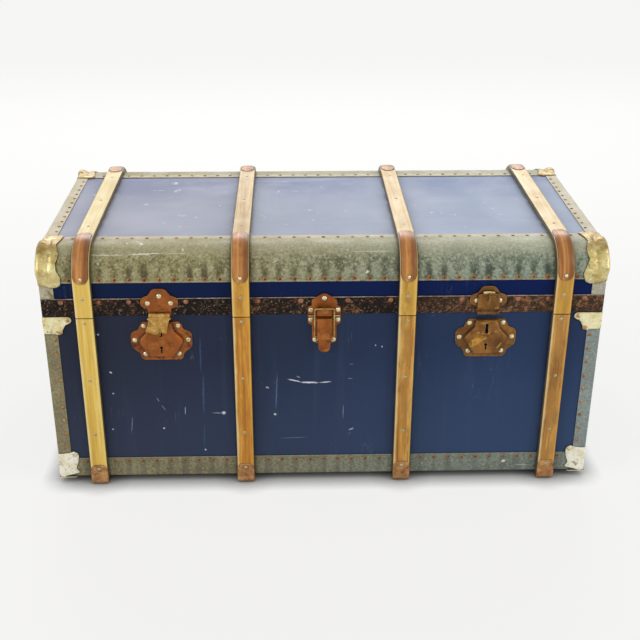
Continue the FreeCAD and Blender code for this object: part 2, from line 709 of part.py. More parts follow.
cap_shell = arch(
    "cap_shell",
    both("at.face_x + dims.cap_thick"),
    "at.face_y + dims.cap_thick",
    "at.seam_z",
    "at.top_z + dims.cap_thick",
    size.bend_radius + size.cap_thick,
)
under_cap = arch("under_cap", both("at.face_x"), "at.face_y", "at.seam_z", "at.top_z", size.bend_radius)
cap_zone_box = box(
    "cap_zone_box",
    ("at.face_x - dims.lid_cap_width", "at.face_x + dims.cap_thick"),
    ("-at.face_y - dims.cap_thick", "dims.bend_radius - at.face_y + dims.lid_cap_width"),
    ("at.bend_z - dims.lid_cap_drop", "at.top_z + dims.cap_thick"),
)
cap_sheet = common("cap_sheet", cut("cap_whole", cap_shell, under_cap), cap_zone_box)

end_keep = arch(
    "end_keep",
    ("at.face_x", "at.face_x + dims.cap_thick"),
    "at.face_y - dims.lid_cap_width",
    "at.seam_z",
    "at.top_z - dims.lid_cap_width",
    max(1.0, size.bend_radius - size.lid_cap_width),
)
cap_ring = cut("cap_ring", cap_sheet, end_keep)

bead = doc.addObject("Part::Torus", "cap_bead")
bead.setExpression("Radius1", "dims.bend_radius - dims.bead_inset")
bead.setExpression("Radius2", "dims.lid_cap_bead")
bead.Angle3 = 90
bead.Placement = FreeCAD.Placement(
    Vector(place.face_x - size.bead_inset, -place.bend_y, place.bend_z), FreeCAD.Rotation(UP, FRONT, RIGHT, "ZXY")
)
bead_clear = cut("cap_bead_clear", bead, under_cap)

# Waves along the inner edge: two shallow bites, made by rods that point at the bend's centre.
bites = []
for angle in (22, 68):
    out = Vector(0, -math.cos(math.radians(angle)), math.sin(math.radians(angle)))
    foot = Vector(place.face_x - size.lid_cap_width - size.lid_cap_scallop, -place.bend_y, place.bend_z)
    bites.append(Part.makeCylinder(2 * size.lid_cap_scallop, 2 * size.bend_radius, foot, out))
cap_bites = feature("cap_bites", Part.Compound(bites))
cap_waved = cut("cap_waved", cap_ring, cap_bites)
lid_cap = fuse("lid_cap", [cap_waved, bead_clear])
front_caps = left_and_right("lid_corner_caps_front", lid_cap)
node("lid_corner_caps_back", mirror("lid_corner_caps_back", front_caps, BACK))

# Plates at the rim of the body: the same leaf on the front and on the end, joined at the corner.
RIM_PLATE = (
    (0, 0, 0),
    (-size.rim_plate_width, 0, size.rivet_radius),
    (-size.rim_plate_width, -size.rim_plate_edge, size.rivet_radius),
    (-size.rim_plate_foot, -size.rim_plate_height, size.rivet_radius),
    (0, -size.rim_plate_height, 0),
)
RIM_RIVETS = ((size.rim_plate_width - 5, -6), (size.rim_plate_foot - 4, 5 - size.rim_plate_height))
rim_z = place.seam_z - size.seam_gap
rim_front = front_plate(RIM_PLATE, place.face_x, rim_z, place.face_y, size.cap_thick)
rim_end_wire = outline(RIM_PLATE, lambda a, b: Vector(place.face_x, -place.face_y - a, rim_z + b))
rim_end = Part.Face(rim_end_wire).extrude(Vector(size.cap_thick, 0, 0))
rim_post = block(
    (place.face_x, place.face_x + size.cap_thick),
    (-place.face_y - size.cap_thick, -place.face_y),
    (rim_z - size.rim_plate_height, rim_z),
)
rim_plate = feature("rim_plate", rim_front.fuse([rim_end, rim_post]).removeSplitter())
four_corners("rim_corner_plates", rim_plate)

# Bottom corner pieces: a leaf on the front, one on the end and one underneath.
FOOT_LEAF = (
    (0, 0, 0),
    (0, size.foot_cap_height - 7, 2),
    (-size.foot_cap_waist, size.foot_cap_height, 2),
    (-size.foot_cap_width, size.foot_cap_height - 6, size.rivet_radius),
    (-size.foot_cap_waist, 9, 3),
    (-size.foot_cap_width, 4, 1),
    (-size.foot_cap_waist, 0, 0),
)
foot_z = size.ground_clearance
foot_front = front_plate(FOOT_LEAF, place.face_x, foot_z, place.face_y, size.cap_thick)
foot_end_wire = outline(FOOT_LEAF, lambda a, b: Vector(place.face_x, -place.face_y - a, foot_z + b))
foot_end = Part.Face(foot_end_wire).extrude(Vector(size.cap_thick, 0, 0))
foot_post = block(
    (place.face_x, place.face_x + size.cap_thick),
    (-place.face_y - size.cap_thick, -place.face_y),
    (foot_z, foot_z + size.foot_cap_height - 7),
)
foot_under = block(
    (place.face_x - size.foot_cap_waist, place.face_x + size.cap_thick),
    (-place.face_y - size.cap_thick, -place.face_y + size.foot_cap_waist),
    (foot_z - size.cap_thick, foot_z),
)
foot_cap = feature("foot_cap", foot_front.fuse([foot_end, foot_post, foot_under]).removeSplitter())
four_corners("bottom_corner_caps", foot_cap)

# ---------------------------------------------------------------------------------------------------------
# Locks: lobed plate, raised case, slot for the staple, keyhole and the bolt inside

LOCK_PLATE = symmetric((
    (31, size.lock_rise, 7),
    (37, 19, 2),
    (size.lock_half_width, 14, 10),
    (size.lock_half_width, -12, 12),
    (36, -24, 2),
    (33, -size.lock_fall, 7),
))
LOCK_BOSS = symmetric((
    (18, size.lock_rise, 0),
    (20, 19, 9),
    (size.boss_half_width, 1, 8),
    (21, -size.boss_fall, 7),
))
LOCK_RIVETS = ((27.5, size.lock_rise - 7.5), (size.lock_half_width - 6.5, 0), (27.5, 10.5 - size.lock_fall))


def front_edges(y):
    """Accepts the edges that lie in the plane of a face at the front."""
    return lambda edge: all(abs(vertex.Y + y) < 1e-6 for vertex in edge.Vertexes)


def bolt_y(fit):
    """Front and back of the lock bolt, which passes through the staple's eye."""
    middle = place.lock_front - size.bolt_depth
    return -middle - size.bolt_width / 2 - fit, -middle + size.bolt_width / 2 + fit


def lock(x):
    plate = front_plate(LOCK_PLATE, x, place.lock_z, place.skin_y, size.plate_thick)
    boss = front_plate(LOCK_BOSS, x, place.lock_z, place.skin_y, size.plate_thick + size.boss_height)
    chosen = front_edges(place.lock_front)
    boss = boss.makeFillet(size.boss_round, [edge for edge in boss.Edges if chosen(edge)])
    well_y = (-place.skin_y, -place.lock_front - 1)
    slot_z = place.staple_z - 1
    slot = block(
        (x - size.slot_width / 2, x + size.slot_width / 2),
        well_y,
        (slot_z - size.slot_height / 2, slot_z + size.slot_height / 2),
    )
    key_top = place.lock_z - size.key_drop
    key_round = rod_y(x, (well_y[1], well_y[0]), key_top, size.key_radius)
    key_slot = block((x - size.key_width / 2, x + size.key_width / 2), well_y, (key_top - size.key_length, key_top))
    channel_y = bolt_y(size.bolt_fit)
    channel = block(
        (x + size.bolt_back - size.bolt_throw - size.bolt_fit, x + size.bolt_back + size.bolt_length + size.bolt_fit),
        channel_y,
        (place.staple_z - size.bolt_height / 2 - size.bolt_fit, place.staple_z + size.bolt_height / 2 + size.bolt_fit),
    )
    return plate.fuse(boss).cut([slot, key_round, key_slot, channel]).removeSplitter()


def lock_bolt(x):
    return block(
        (x + size.bolt_back, x + size.bolt_back + size.bolt_length),
        bolt_y(0),
        (place.staple_z - size.bolt_height / 2, place.staple_z + size.bolt_height / 2),
    )


for side, x in (("left", -place.lock_x), ("right", place.lock_x)):
    node(f"lock_{side}", feature(f"lock_{side}", lock(x)))
    node(f"lock_bolt_{side}", feature(f"lock_bolt_{side}", lock_bolt(x)))

# ---------------------------------------------------------------------------------------------------------
# Hasps: a plate riveted to the lid and a strap hinged to it that carries the staple

HASP_PLATE = symmetric((
    (10, size.hasp_plate_height, 9),
    (18, 33, 5),
    (size.hasp_plate_half, 29, 8),
    (size.hasp_plate_half, 14, 7),
    (19, 11, 3),
    (18, 1, 0),
))
HASP_RIVET_X = size.hasp_plate_half - 11.3
HASP_RIVETS = ((0, size.hasp_plate_height - 13), (HASP_RIVET_X, 19.5), (-HASP_RIVET_X, 19.5))
STRAP_KNUCKLE = 7.5


def hasp_plate(x):
    plate = front_plate(HASP_PLATE, x, place.hasp_z, place.face_y, size.plate_thick)
    pieces = [plate]
    for side in SIDES:
        near, far = STRAP_KNUCKLE + size.side_fit, size.strap_width / 2
        span = sorted((x + side * near, x + side * far))
        pieces.append(rod_x(span, -place.hasp_y, place.hasp_z, size.hasp_knuckle))
        web_z = (place.hasp_z + size.hasp_knuckle / 2, place.hasp_z + size.hasp_knuckle)
        pieces.append(block(span, (-place.face_y, -place.hasp_y), web_z))
    pin = rod_x((x - size.strap_width / 2, x + size.strap_width / 2), -place.hasp_y, place.hasp_z, size.hasp_pin)
    return pieces[0].fuse(pieces[1:] + [pin]).removeSplitter()


def hasp_strap(x, angle):
    """The strap with its staple, drawn hanging home in the lock, then swung out about its hinge."""
    back, front = place.lock_front, place.lock_front + size.strap_thick
    leaf_top = place.hasp_z - size.hasp_knuckle - size.side_fit
    low = place.hasp_z - size.strap_length
    half = size.strap_width / 2
    leaf = front_plate(
        ((-half, leaf_top, 0), (-half, low, 5), (half, low, 5), (half, leaf_top, 0)), x, 0, back, size.strap_thick
    )
    tongue = block((x - STRAP_KNUCKLE, x + STRAP_KNUCKLE), (-back, -front), (leaf_top - 1, place.hasp_z))
    knuckle_x = (x - STRAP_KNUCKLE, x + STRAP_KNUCKLE)
    knuckle = rod_x(knuckle_x, -place.hasp_y, place.hasp_z, size.hasp_knuckle)
    bore = rod_x(knuckle_x, -place.hasp_y, place.hasp_z, size.hasp_pin + size.pin_fit)
    staple_x = (x - size.staple_width / 2, x + size.staple_width / 2)
    ring = rod_x(staple_x, -back, place.staple_z, size.staple_radius)
    eye = rod_x(staple_x, -back, place.staple_z, size.staple_eye)
    reach = size.staple_radius + 1
    half_space = block(staple_x, (-back, -back + reach), (place.staple_z - reach, place.staple_z + reach))
    staple = ring.cut(eye).common(half_space)
    strap = leaf.fuse([tongue, knuckle, staple]).cut(bore).removeSplitter()
    strap.rotate(Vector(x, -place.hasp_y, place.hasp_z), LEFT, angle)
    return strap


HASPS = (("left", -place.lock_x, size.hasp_left_angle), ("right", place.lock_x, size.hasp_right_angle))
for side, x, angle in HASPS:
    node(f"hasp_plate_{side}", feature(f"hasp_plate_{side}", hasp_plate(x)))
    node(f"hasp_strap_{side}", feature(f"hasp_strap_{side}", hasp_strap(x, angle)))

# ---------------------------------------------------------------------------------------------------------
# Draw bolt: base and lever on the body, catch on the lid, wire bail between them

CATCH_PLATE = symmetric((
    (3, size.draw_top, 4),
    (20.5, 26.5, 5),
    (20.5, 16, 2),
    (size.draw_half_width, 14, 4),
    (size.draw_half_width, size.seam_gap, 0),
))
DRAW_BASE = symmetric((
    (size.draw_half_width, -size.seam_gap, 0),
    (size.draw_half_width, -16, 5),
    (size.draw_foot_half, -19, 2),
    (size.draw_foot_half, -size.draw_fall + 4, 5),
    (11, -size.draw_fall, 3),
))
DRAW_RIVET_X, FOOT_RIVET_X = size.draw_half_width - 5, size.draw_foot_half - 5
CATCH_RIVETS = ((0, size.draw_top - 8), (DRAW_RIVET_X, 8), (-DRAW_RIVET_X, 8))
BASE_RIVETS = tuple(
    (side * a, b) for side in SIDES for a, b in ((DRAW_RIVET_X, -10), (FOOT_RIVET_X, 7 - size.draw_fall))
)

catch_plate = front_plate(CATCH_PLATE, 0, place.seam_z, place.face_y, size.plate_thick)
nose_y = (-place.face_y, -place.face_y - size.plate_thick - size.catch_reach)
nose_x = (-size.catch_half_width, size.catch_half_width)
seat_z = place.seam_z + size.catch_high
nose = block(nose_x, nose_y, (place.seam_z + size.catch_low, seat_z))
lip = block(nose_x, (nose_y[1], nose_y[1] + size.catch_lip_thick), (seat_z - 1, seat_z + size.catch_lip))
node("draw_bolt_catch", feature("draw_bolt_catch", catch_plate.fuse([nose, lip]).removeSplitter()))

base_plate = front_plate(DRAW_BASE, 0, place.seam_z, place.skin_y, size.plate_thick)
ear_near = size.catch_half_width + size.side_fit
ear_pieces = []
for side in SIDES:
    span = sorted((side * ear_near, side * (ear_near + size.ear_thick)))
    ear_round = rod_x(span, -place.lever_y, place.lever_z, size.ear_round)
    ear_web = block(
        span,
        (-place.skin_y, -place.lever_y),
        (place.lever_z - size.ear_round, place.lever_z + size.ear_round),
    )
    ear_pieces += [ear_round, ear_web]
ear_pin_x = (-ear_near - size.ear_thick, ear_near + size.ear_thick)
ear_pieces.append(rod_x(ear_pin_x, -place.lever_y, place.lever_z, size.lever_pin))
node("draw_bolt_base", feature("draw_bolt_base", base_plate.fuse(ear_pieces).removeSplitter()))

# The lever is a channel: a front plate, two cheeks that turn on the pin, and a rounded finger tab.
lever_front = place.lever_y + size.lever_pin + size.lever_gap + size.lever_thick
lever_low = place.lever_z - size.lever_below
cheek_x = (size.catch_half_width - size.lever_thick, size.catch_half_width)
lever_plate = block(
    nose_x, (-lever_front, -lever_front + size.lever_thick), (lever_low, place.lever_z + size.lever_above)
)
tab = front_plate(
    (
        (-size.lever_tab_half, 1, 0),
        (-size.lever_tab_half, -size.lever_tab, size.lever_tab_half - 1),
        (size.lever_tab_half, -size.lever_tab, size.lever_tab_half - 1),
        (size.lever_tab_half, 1, 0),
    ),
    0,
    lever_low,
    lever_front - size.lever_thick,
    size.lever_thick,
)
cheek_top = place.lever_z + size.lever_above - size.cheek_step
cheeks = []
for side in SIDES:
    span = sorted((side * cheek_x[0], side * cheek_x[1]))
    cheeks.append(
        block(span, (-lever_front, -place.lever_y + size.cheek_back), (lever_low, cheek_top))
    )
lever_bores = [
    rod_x(nose_x, -place.lever_y, place.lever_z, size.lever_pin + size.pin_fit),
    rod_x(nose_x, -place.lever_y, place.bail_z, size.bail_wire + size.pin_fit),
]
lever = lever_plate.fuse([tab] + cheeks).cut(lever_bores).removeSplitter()
node("draw_bolt_lever", feature("draw_bolt_lever", lever))

# The bail: one wire, bent square, whose turned-in ends pivot in the lever's cheeks.
wire_y, wire_low, wire_high = -place.lever_y, place.bail_z, place.bail_z + size.bail_length
wire_end = cheek_x[0]
wire_bend = size.bail_bend


def at_bail(a, b):
    return Vector(a, wire_y, b)


def bail_wire():
    half = size.bail_half_width
    path = Part.Wire([
        Part.LineSegment(at_bail(half, wire_low), at_bail(half, wire_high - wire_bend)).toShape(),
        Part.Arc(
            at_bail(half, wire_high - wire_bend),
            at_bail(half - wire_bend * (1 - math.sqrt(0.5)), wire_high - wire_bend * (1 - math.sqrt(0.5))),
            at_bail(half - wire_bend, wire_high),
        ).toShape(),
        Part.LineSegment(at_bail(half - wire_bend, wire_high), at_bail(wire_bend - half, wire_high)).toShape(),
        Part.Arc(
            at_bail(wire_bend - half, wire_high),
            at_bail(wire_bend * (1 - math.sqrt(0.5)) - half, wire_high - wire_bend * (1 - math.sqrt(0.5))),
            at_bail(-half, wire_high - wire_bend),
        ).toShape(),
        Part.LineSegment(at_bail(-half, wire_high - wire_bend), at_bail(-half, wire_low)).toShape(),
    ])
    ring = Part.Wire(Part.makeCircle(size.bail_wire, at_bail(half, wire_low), UP))
    hoop = path.makePipeShell([ring], True, False)
    ends = [rod_x((wire_end, half), wire_y, wire_low, size.bail_wire)]
    ends.append(rod_x((-half, -wire_end), wire_y, wire_low, size.bail_wire))
    knees = [Part.makeSphere(size.bail_wire, at_bail(side * half, wire_low)) for side in SIDES]
    whole = hoop.fuse(ends + knees).removeSplitter()
    whole.rotate(Vector(0, wire_y, wire_low), RIGHT, size.bail_angle)
    return whole


node("draw_bolt_bail", feature("draw_bolt_bail", bail_wire()))

# ---------------------------------------------------------------------------------------------------------
# Back hinges: two leaves and a pin each; the lid's knuckle turns between the body's two

HINGES = (-place.lock_x, 0, place.lock_x)
knuckle_span = size.hinge_width / 3


def hinge_leaf(x, back_y, z, spans, web_z, bore):
    pieces = [block((x - size.hinge_width / 2, x + size.hinge_width / 2), (back_y, back_y + size.hinge_leaf_thick), z)]
    for span in spans:
        pieces.append(block(span, (back_y, place.hinge_y), web_z))
        pieces.append(rod_x(span, place.hinge_y, place.seam_z, size.hinge_knuckle))
    leaf = pieces[0].fuse(pieces[1:])
    whole_x = (x - size.hinge_width, x + size.hinge_width)
    return leaf.cut(rod_x(whole_x, place.hinge_y, place.seam_z, bore)).removeSplitter()


lower_leaves = []
upper_leaves = []
pins = []
for x in HINGES:
    half, third = size.hinge_width / 2, knuckle_span / 2
    outer_spans = ((x - half, x - third - size.side_fit), (x + third + size.side_fit, x + half))
    low_web = (place.seam_z - size.hinge_knuckle, place.seam_z - size.hinge_knuckle + size.hinge_leaf_thick)
    high_web = (place.seam_z + size.hinge_knuckle - size.hinge_leaf_thick, place.seam_z + size.hinge_knuckle)
    low_z = (place.seam_z - size.seam_gap - size.hinge_leaf_height, place.seam_z - size.seam_gap)
    high_z = (place.lid_low, place.lid_low + size.hinge_leaf_height)
    lower_leaves.append(hinge_leaf(x, place.skin_y, low_z, outer_spans, low_web, size.hinge_pin))
    upper_leaves.append(
        hinge_leaf(x, place.face_y, high_z, ((x - third, x + third),), high_web, size.hinge_pin + size.pin_fit)
    )
    pins.append(rod_x((x - half, x + half), place.hinge_y, place.seam_z, size.hinge_pin))
node("hinge_leaves_lower", feature("hinge_leaves_lower", Part.Compound(lower_leaves)))
node("hinge_leaves_upper", feature("hinge_leaves_upper", Part.Compound(upper_leaves)))
node("hinge_pins", feature("hinge_pins", Part.Compound(pins)))

# ---------------------------------------------------------------------------------------------------------
# Quadrant stays: flat arcs about the hinge line, fixed to the lid, that slide through keepers on the rim

stay_out = place.lined_x - size.tongue_thick - size.side_fit
stay_in = stay_out - size.stay_thick


def on_quadrant(x, radius, degrees):
    """A point on the quadrant, at an angle above the seam."""
    turn = math.radians(degrees)
    return Vector(x, place.hinge_y - radius * math.cos(turn), place.seam_z + radius * math.sin(turn))


def quadrant(x, thick, radii, degrees):
    """A flat arc between two radii and two angles, from x outwards by thick."""
    near, far = radii
    low, high = degrees
    middle = (low + high) / 2
    wire = Part.Wire([
        Part.Arc(on_quadrant(x, far, low), on_quadrant(x, far, middle), on_quadrant(x, far, high)).toShape(),
        Part.LineSegment(on_quadrant(x, far, high), on_quadrant(x, near, high)).toShape(),
        Part.Arc(on_quadrant(x, near, high), on_quadrant(x, near, middle), on_quadrant(x, near, low)).toShape(),
        Part.LineSegment(on_quadrant(x, near, low), on_quadrant(x, far, low)).toShape(),
    ])
    return Part.Face(wire).extrude(Vector(thick, 0, 0))


stay_radii = (size.stay_radius - size.stay_width / 2, size.stay_radius + size.stay_width / 2)
foot_radii = (stay_radii[0] - size.stay_foot_margin, stay_radii[1] + size.stay_foot_margin)
foot_low = math.degrees(math.asin((size.tongue_above + size.stay_foot_above) / stay_radii[0]))
stay_arc = quadrant(stay_in, size.stay_thick, stay_radii, (-size.stay_end_angle, size.stay_top_angle))
stay_foot = quadrant(stay_in, place.lined_x - stay_in, foot_radii, (foot_low, foot_low + size.stay_foot_angle))
stay_stop = quadrant(
    stay_in - size.stop_thick,
    size.stay_thick + size.stop_thick,
    stay_radii,
    (-size.stay_end_angle, -size.stay_end_angle + size.stop_angle),
)
stay = feature("quadrant_stay", stay_arc.fuse([stay_foot, stay_stop]).removeSplitter())
left_and_right("quadrant_stays", stay)

# A keeper is a small staple of sheet over the quadrant, riveted to the rim strip.
rim_inside = place.lined_x - size.tongue_thick
keeper_outer = quadrant(
    stay_in - size.side_fit - size.keeper_sheet,
    rim_inside - stay_in + size.side_fit + size.keeper_sheet,
    (stay_radii[0] - size.side_fit - size.keeper_sheet, stay_radii[1] + size.side_fit + size.keeper_sheet),
    (-size.keeper_angle - size.keeper_half_angle, -size.keeper_angle + size.keeper_half_angle),
)
keeper_space = quadrant(
    stay_in - size.side_fit,
    rim_inside - stay_in + size.side_fit + 1,
    (stay_radii[0] - size.side_fit, stay_radii[1] + size.side_fit),
    (-size.keeper_angle - 2 * size.keeper_half_angle, -size.keeper_angle + 2 * size.keeper_half_angle),
)
left_and_right("stay_keepers", feature("stay_keeper", keeper_outer.cut(keeper_space)))

# ---------------------------------------------------------------------------------------------------------
# Handles: a rolled leather grip that swings on pins between the lugs of two loops at each end

handle_low = size.handle_z - size.handle_drop
lug_near = size.eye_half + size.side_fit


def handle_path(x):
    half, bend = size.handle_half_span, size.handle_bend
    share = bend * (1 - math.sqrt(0.5))

    def point(b, c):
        return Vector(x, b, c)

    return Part.Wire([
        Part.LineSegment(point(-half, size.handle_z), point(-half, handle_low + bend)).toShape(),
        Part.Arc(
            point(-half, handle_low + bend), point(share - half, handle_low + share), point(bend - half, handle_low)
        ).toShape(),
        Part.LineSegment(point(bend - half, handle_low), point(half - bend, handle_low)).toShape(),
        Part.Arc(
            point(half - bend, handle_low), point(half - share, handle_low + share), point(half, handle_low + bend)
        ).toShape(),
        Part.LineSegment(point(half, handle_low + bend), point(half, size.handle_z)).toShape(),
    ])


def handle(side):
    x = side * place.handle_x
    start = Vector(x, -size.handle_half_span, size.handle_z)
    ring = Part.Wire(Part.makeCircle(size.handle_grip, start, UP))
    rope = handle_path(x).makePipeShell([ring], True, False)
    eyes = []
    bores = []
    for way in SIDES:
        middle = way * size.handle_half_span
        eye_y = (middle - size.eye_half, middle + size.eye_half)
        eyes.append(rod_y(x, eye_y, size.handle_z, size.handle_eye))
        bores.append(rod_y(x, eye_y, size.handle_z, size.handle_pin + size.pin_fit))
    return rope.fuse(eyes).cut(bores).removeSplitter()


def handle_loop(side, middle):
    """One loop: a plate on the end board, two lugs and the pin between them."""
    board, x = side * place.skin_x, side * place.handle_x
    half_height = size.loop_height / 2
    plate = block(
        (board, board + side * size.loop_thick),
        (middle - size.loop_width / 2, middle + size.loop_width / 2),
        (size.handle_z - half_height, size.handle_z + half_height),
    )
    pieces = []
    for way in SIDES:
        span = sorted((middle + way * lug_near, middle + way * (lug_near + size.loop_thick)))
        pieces.append(rod_y(x, span, size.handle_z, size.lug_round))
        pieces.append(block((board, x), span, (size.handle_z - size.lug_round, size.handle_z + size.lug_round)))
    reach = lug_near + size.loop_thick
    pieces.append(rod_y(x, (middle - reach, middle + reach), size.handle_z, size.handle_pin))
    return plate.fuse(pieces).removeSplitter()


loops = []
for side, word in ((-1, "left"), (1, "right")):
    node(f"handle_{word}", feature(f"handle_{word}", handle(side)))
    loops += [handle_loop(side, way * size.handle_half_span) for way in SIDES]
node("handle_loops", feature("handle_loops", Part.Compound(loops)))

# ---------------------------------------------------------------------------------------------------------
# Nails and rivets. Each group of alike heads is one node.

NAIL_LINE = size.corner_strip_width - size.nail_inset
upright_low = place.bottom_strip_top + size.nail_pitch
upright_high = place.seam_z - size.rim_plate_height - 10

low_line = place.bottom_strip_top - size.bottom_nail_inset
long_row = row(size.corner_clear - place.face_x, place.face_x - size.corner_clear, size.nail_pitch)
body_nails = []
for side in SIDES:
    end = RIGHT * side
    for z in row(upright_low, upright_high, size.nail_pitch):
        for face in (FRONT, BACK):
            across = side * (place.face_x - NAIL_LINE)
            body_nails.append(nail(Vector(across, face.y * place.face_y, z), face))
            body_nails.append(nail(Vector(side * place.face_x, face.y * (place.face_y - NAIL_LINE), z), end))
    for y in row(size.corner_clear - place.face_y, place.face_y - size.corner_clear, size.nail_pitch):
        body_nails.append(nail(Vector(side * place.face_x, y, low_line), end))
for x in long_row:
    if clear_of_slats(x, size.nail_radius):
        for face in (FRONT, BACK):
            body_nails.append(nail(Vector(x, face.y * place.face_y, low_line), face))
node("body_nails", feature("body_nails", Part.Compound(body_nails)))

lid_nails = []
bend_low_line = place.bend_strip_low + size.nail_inset
top_line = place.face_y - size.bend_strip_top + size.top_nail_inset
for x in long_row:
    if clear_of_slats(x, size.nail_radius):
        for face in (FRONT, BACK):
            lid_nails.append(nail(Vector(x, face.y * place.face_y, bend_low_line), face))
            lid_nails.append(nail(Vector(x, face.y * top_line, place.top_z), UP))
for side in SIDES:
    top_x = side * (place.face_x - size.end_strip_top + size.nail_inset)
    for y in row(size.lid_cap_top - place.face_y, place.face_y - size.lid_cap_top, size.nail_pitch):
        lid_nails.append(nail(Vector(top_x, y, place.top_z), UP))
        lid_nails.append(nail(Vector(side * place.face_x, y, place.top_z - NAIL_LINE), RIGHT * side))
node("lid_nails", feature("lid_nails", Part.Compound(lid_nails)))

BAND_RIVET_X = (
    38,
    place.slat_inner_x - 27,
    place.lock_x - 43,
    place.lock_x + 49,
    place.slat_outer_x - 23,
    place.face_x - 32,
)
band_rivet_z = place.band_top - size.band_rivet_drop
band_rivets = []
for x in BAND_RIVET_X:
    for side in SIDES:
        band_rivets.append(rivet(Vector(side * x, -place.face_y, band_rivet_z), FRONT))
        band_rivets.append(rivet(Vector(side * x, place.face_y, band_rivet_z), BACK))
for side in SIDES:
    for y in row(size.end_rivet_clear - place.face_y, place.face_y - size.end_rivet_clear, size.end_rivet_pitch):
        band_rivets.append(rivet(Vector(side * place.face_x, y, band_rivet_z), RIGHT * side))
node("band_rivets", feature("band_rivets", Part.Compound(band_rivets)))

body_rivets = []
front_nails = row(
    size.shoe_height + size.slat_nail_last, place.seam_z - size.slat_nail_first, size.slat_nail_pitch
)
for x in SLATS:
    for z in front_nails:
        body_rivets.append(slat_nail(Vector(x, -place.slat_y, z), FRONT))
        body_rivets.append(slat_nail(Vector(x, place.slat_y, z - size.slat_back_gap), BACK))
    shoe_y = place.slat_y + size.shoe_thick
    for face in (FRONT, BACK):
        body_rivets.append(slat_nail(Vector(x, face.y * shoe_y, size.shoe_height - 8), face))
for side in SIDES:
    lock_middle = side * place.lock_x
    for a, b in LOCK_RIVETS:
        for way in SIDES:
            where = Vector(lock_middle + way * a, -place.skin_y - size.plate_thick, place.lock_z + b)
            body_rivets.append(rivet(where, FRONT))
    for face in (FRONT, BACK):
        cap_y = face.y * (place.face_y + size.cap_thick)
        for a, b in RIM_RIVETS:
            body_rivets.append(rivet(Vector(side * (place.face_x - a), cap_y, rim_z + b), face))
        foot_rivet = (size.foot_cap_width - 5, size.foot_cap_height - 5)
        where = Vector(side * (place.face_x - foot_rivet[0]), cap_y, foot_z + foot_rivet[1])
        body_rivets.append(rivet(where, face))
for a, b in BASE_RIVETS:
    body_rivets.append(rivet(Vector(a, -place.skin_y - size.plate_thick, place.seam_z + b), FRONT))
node("body_rivets", feature("body_rivets", Part.Compound(body_rivets)))

lid_rivets = []
top_nail_end = place.bend_y - size.bend_cap_top - size.cap_nail_gap
cap_radius = place.slat_bend + size.bend_cap_thick
cap_turn = (size.bend_cap_rivet - size.bend_cap_front) / cap_radius
for x in SLATS:
    for face in (FRONT, BACK):
        lid_rivets.append(slat_nail(Vector(x, face.y * place.slat_y, place.lid_low + size.slat_nail_band), face))
        outwards = Vector(0, face.y * math.cos(cap_turn), math.sin(cap_turn))
        bend_middle = Vector(x, face.y * place.bend_y, place.bend_z)
        lid_rivets.append(slat_nail(bend_middle + outwards * cap_radius, outwards))
    for y in row(-top_nail_end, top_nail_end, size.top_nail_pitch):
        lid_rivets.append(slat_nail(Vector(x, y, place.slat_top), UP))
for side in SIDES:
    for a, b in HASP_RIVETS:
        where = Vector(side * place.lock_x + a, -place.face_y - size.plate_thick, place.hasp_z + b)
        lid_rivets.append(rivet(where, FRONT))
    for face in (FRONT, BACK):
        where = Vector(
            side * (place.face_x - size.lid_cap_width + 5),
            face.y * (place.face_y + size.cap_thick),
            place.bend_z - size.lid_cap_drop + 5,
        )
        lid_rivets.append(rivet(where, face))
for a, b in CATCH_RIVETS:
    lid_rivets.append(rivet(Vector(a, -place.face_y - size.plate_thick, place.seam_z + b), FRONT))
node("lid_rivets", feature("lid_rivets", Part.Compound(lid_rivets)))

# ---------------------------------------------------------------------------------------------------------
# Check and write

doc.recompute()
for item in doc.Objects:
    if {"Invalid", "Error"} & set(item.State):
        raise RuntimeError(f"{item.Label} did not recompute: {item.State}")
for item in nodes:
    if item.Shape.isNull() or not item.Shape.isValid() or not item.Shape.Solids:
        raise RuntimeError(f"{item.Label} has no valid solid")

os.makedirs("parts", exist_ok=True)
for item in nodes:
    item.Shape.exportStep(f"parts/{item.Label}.step")
print(len(nodes), "nodes")
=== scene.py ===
import math

import bmesh
import bpy
from mathutils import Matrix, Vector, noise


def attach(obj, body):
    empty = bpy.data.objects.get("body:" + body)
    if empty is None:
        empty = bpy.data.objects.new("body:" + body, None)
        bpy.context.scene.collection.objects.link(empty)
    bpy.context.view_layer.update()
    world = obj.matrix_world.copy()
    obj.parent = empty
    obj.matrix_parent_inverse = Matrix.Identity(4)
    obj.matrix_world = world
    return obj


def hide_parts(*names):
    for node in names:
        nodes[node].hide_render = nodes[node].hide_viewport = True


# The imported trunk, dressed. Metres, in the CAD frame; lengths below are in millimetres times MM.

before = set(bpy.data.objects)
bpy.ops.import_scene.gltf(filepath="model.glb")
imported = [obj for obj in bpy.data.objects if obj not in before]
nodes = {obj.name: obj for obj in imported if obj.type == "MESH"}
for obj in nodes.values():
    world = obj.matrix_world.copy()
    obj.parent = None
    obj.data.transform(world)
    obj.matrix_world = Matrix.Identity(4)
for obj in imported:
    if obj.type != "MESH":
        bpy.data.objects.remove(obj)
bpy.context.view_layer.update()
MM = 0.001

FACE_X, FACE_Y, BOTTOM, SEAM, TOP = 457.0, 232.0, 12.0, 319.0, 428.0
EDGE_ROUND = 3.0  # the box's upright corners and its bottom edges
BEND = 48.0
BEND_Y, BEND_Z = FACE_Y - BEND, TOP - BEND
SLATS = (-388.0, -135.0, 135.0, 388.0)
SLAT_HALF, SLAT_THICK = 14.5, 9.0
PAIR_MIDDLE, PAIR_HALF = 261.5, 126.5  # the middle of the two slats on each side, half the distance between
NAIL_ROW, NAIL_STEP = 409.0, 818.0 / 34
LOCK_X = 267.0
HINGE_Y, HINGE_Z = 238.3, 321.8


# ==== Materials

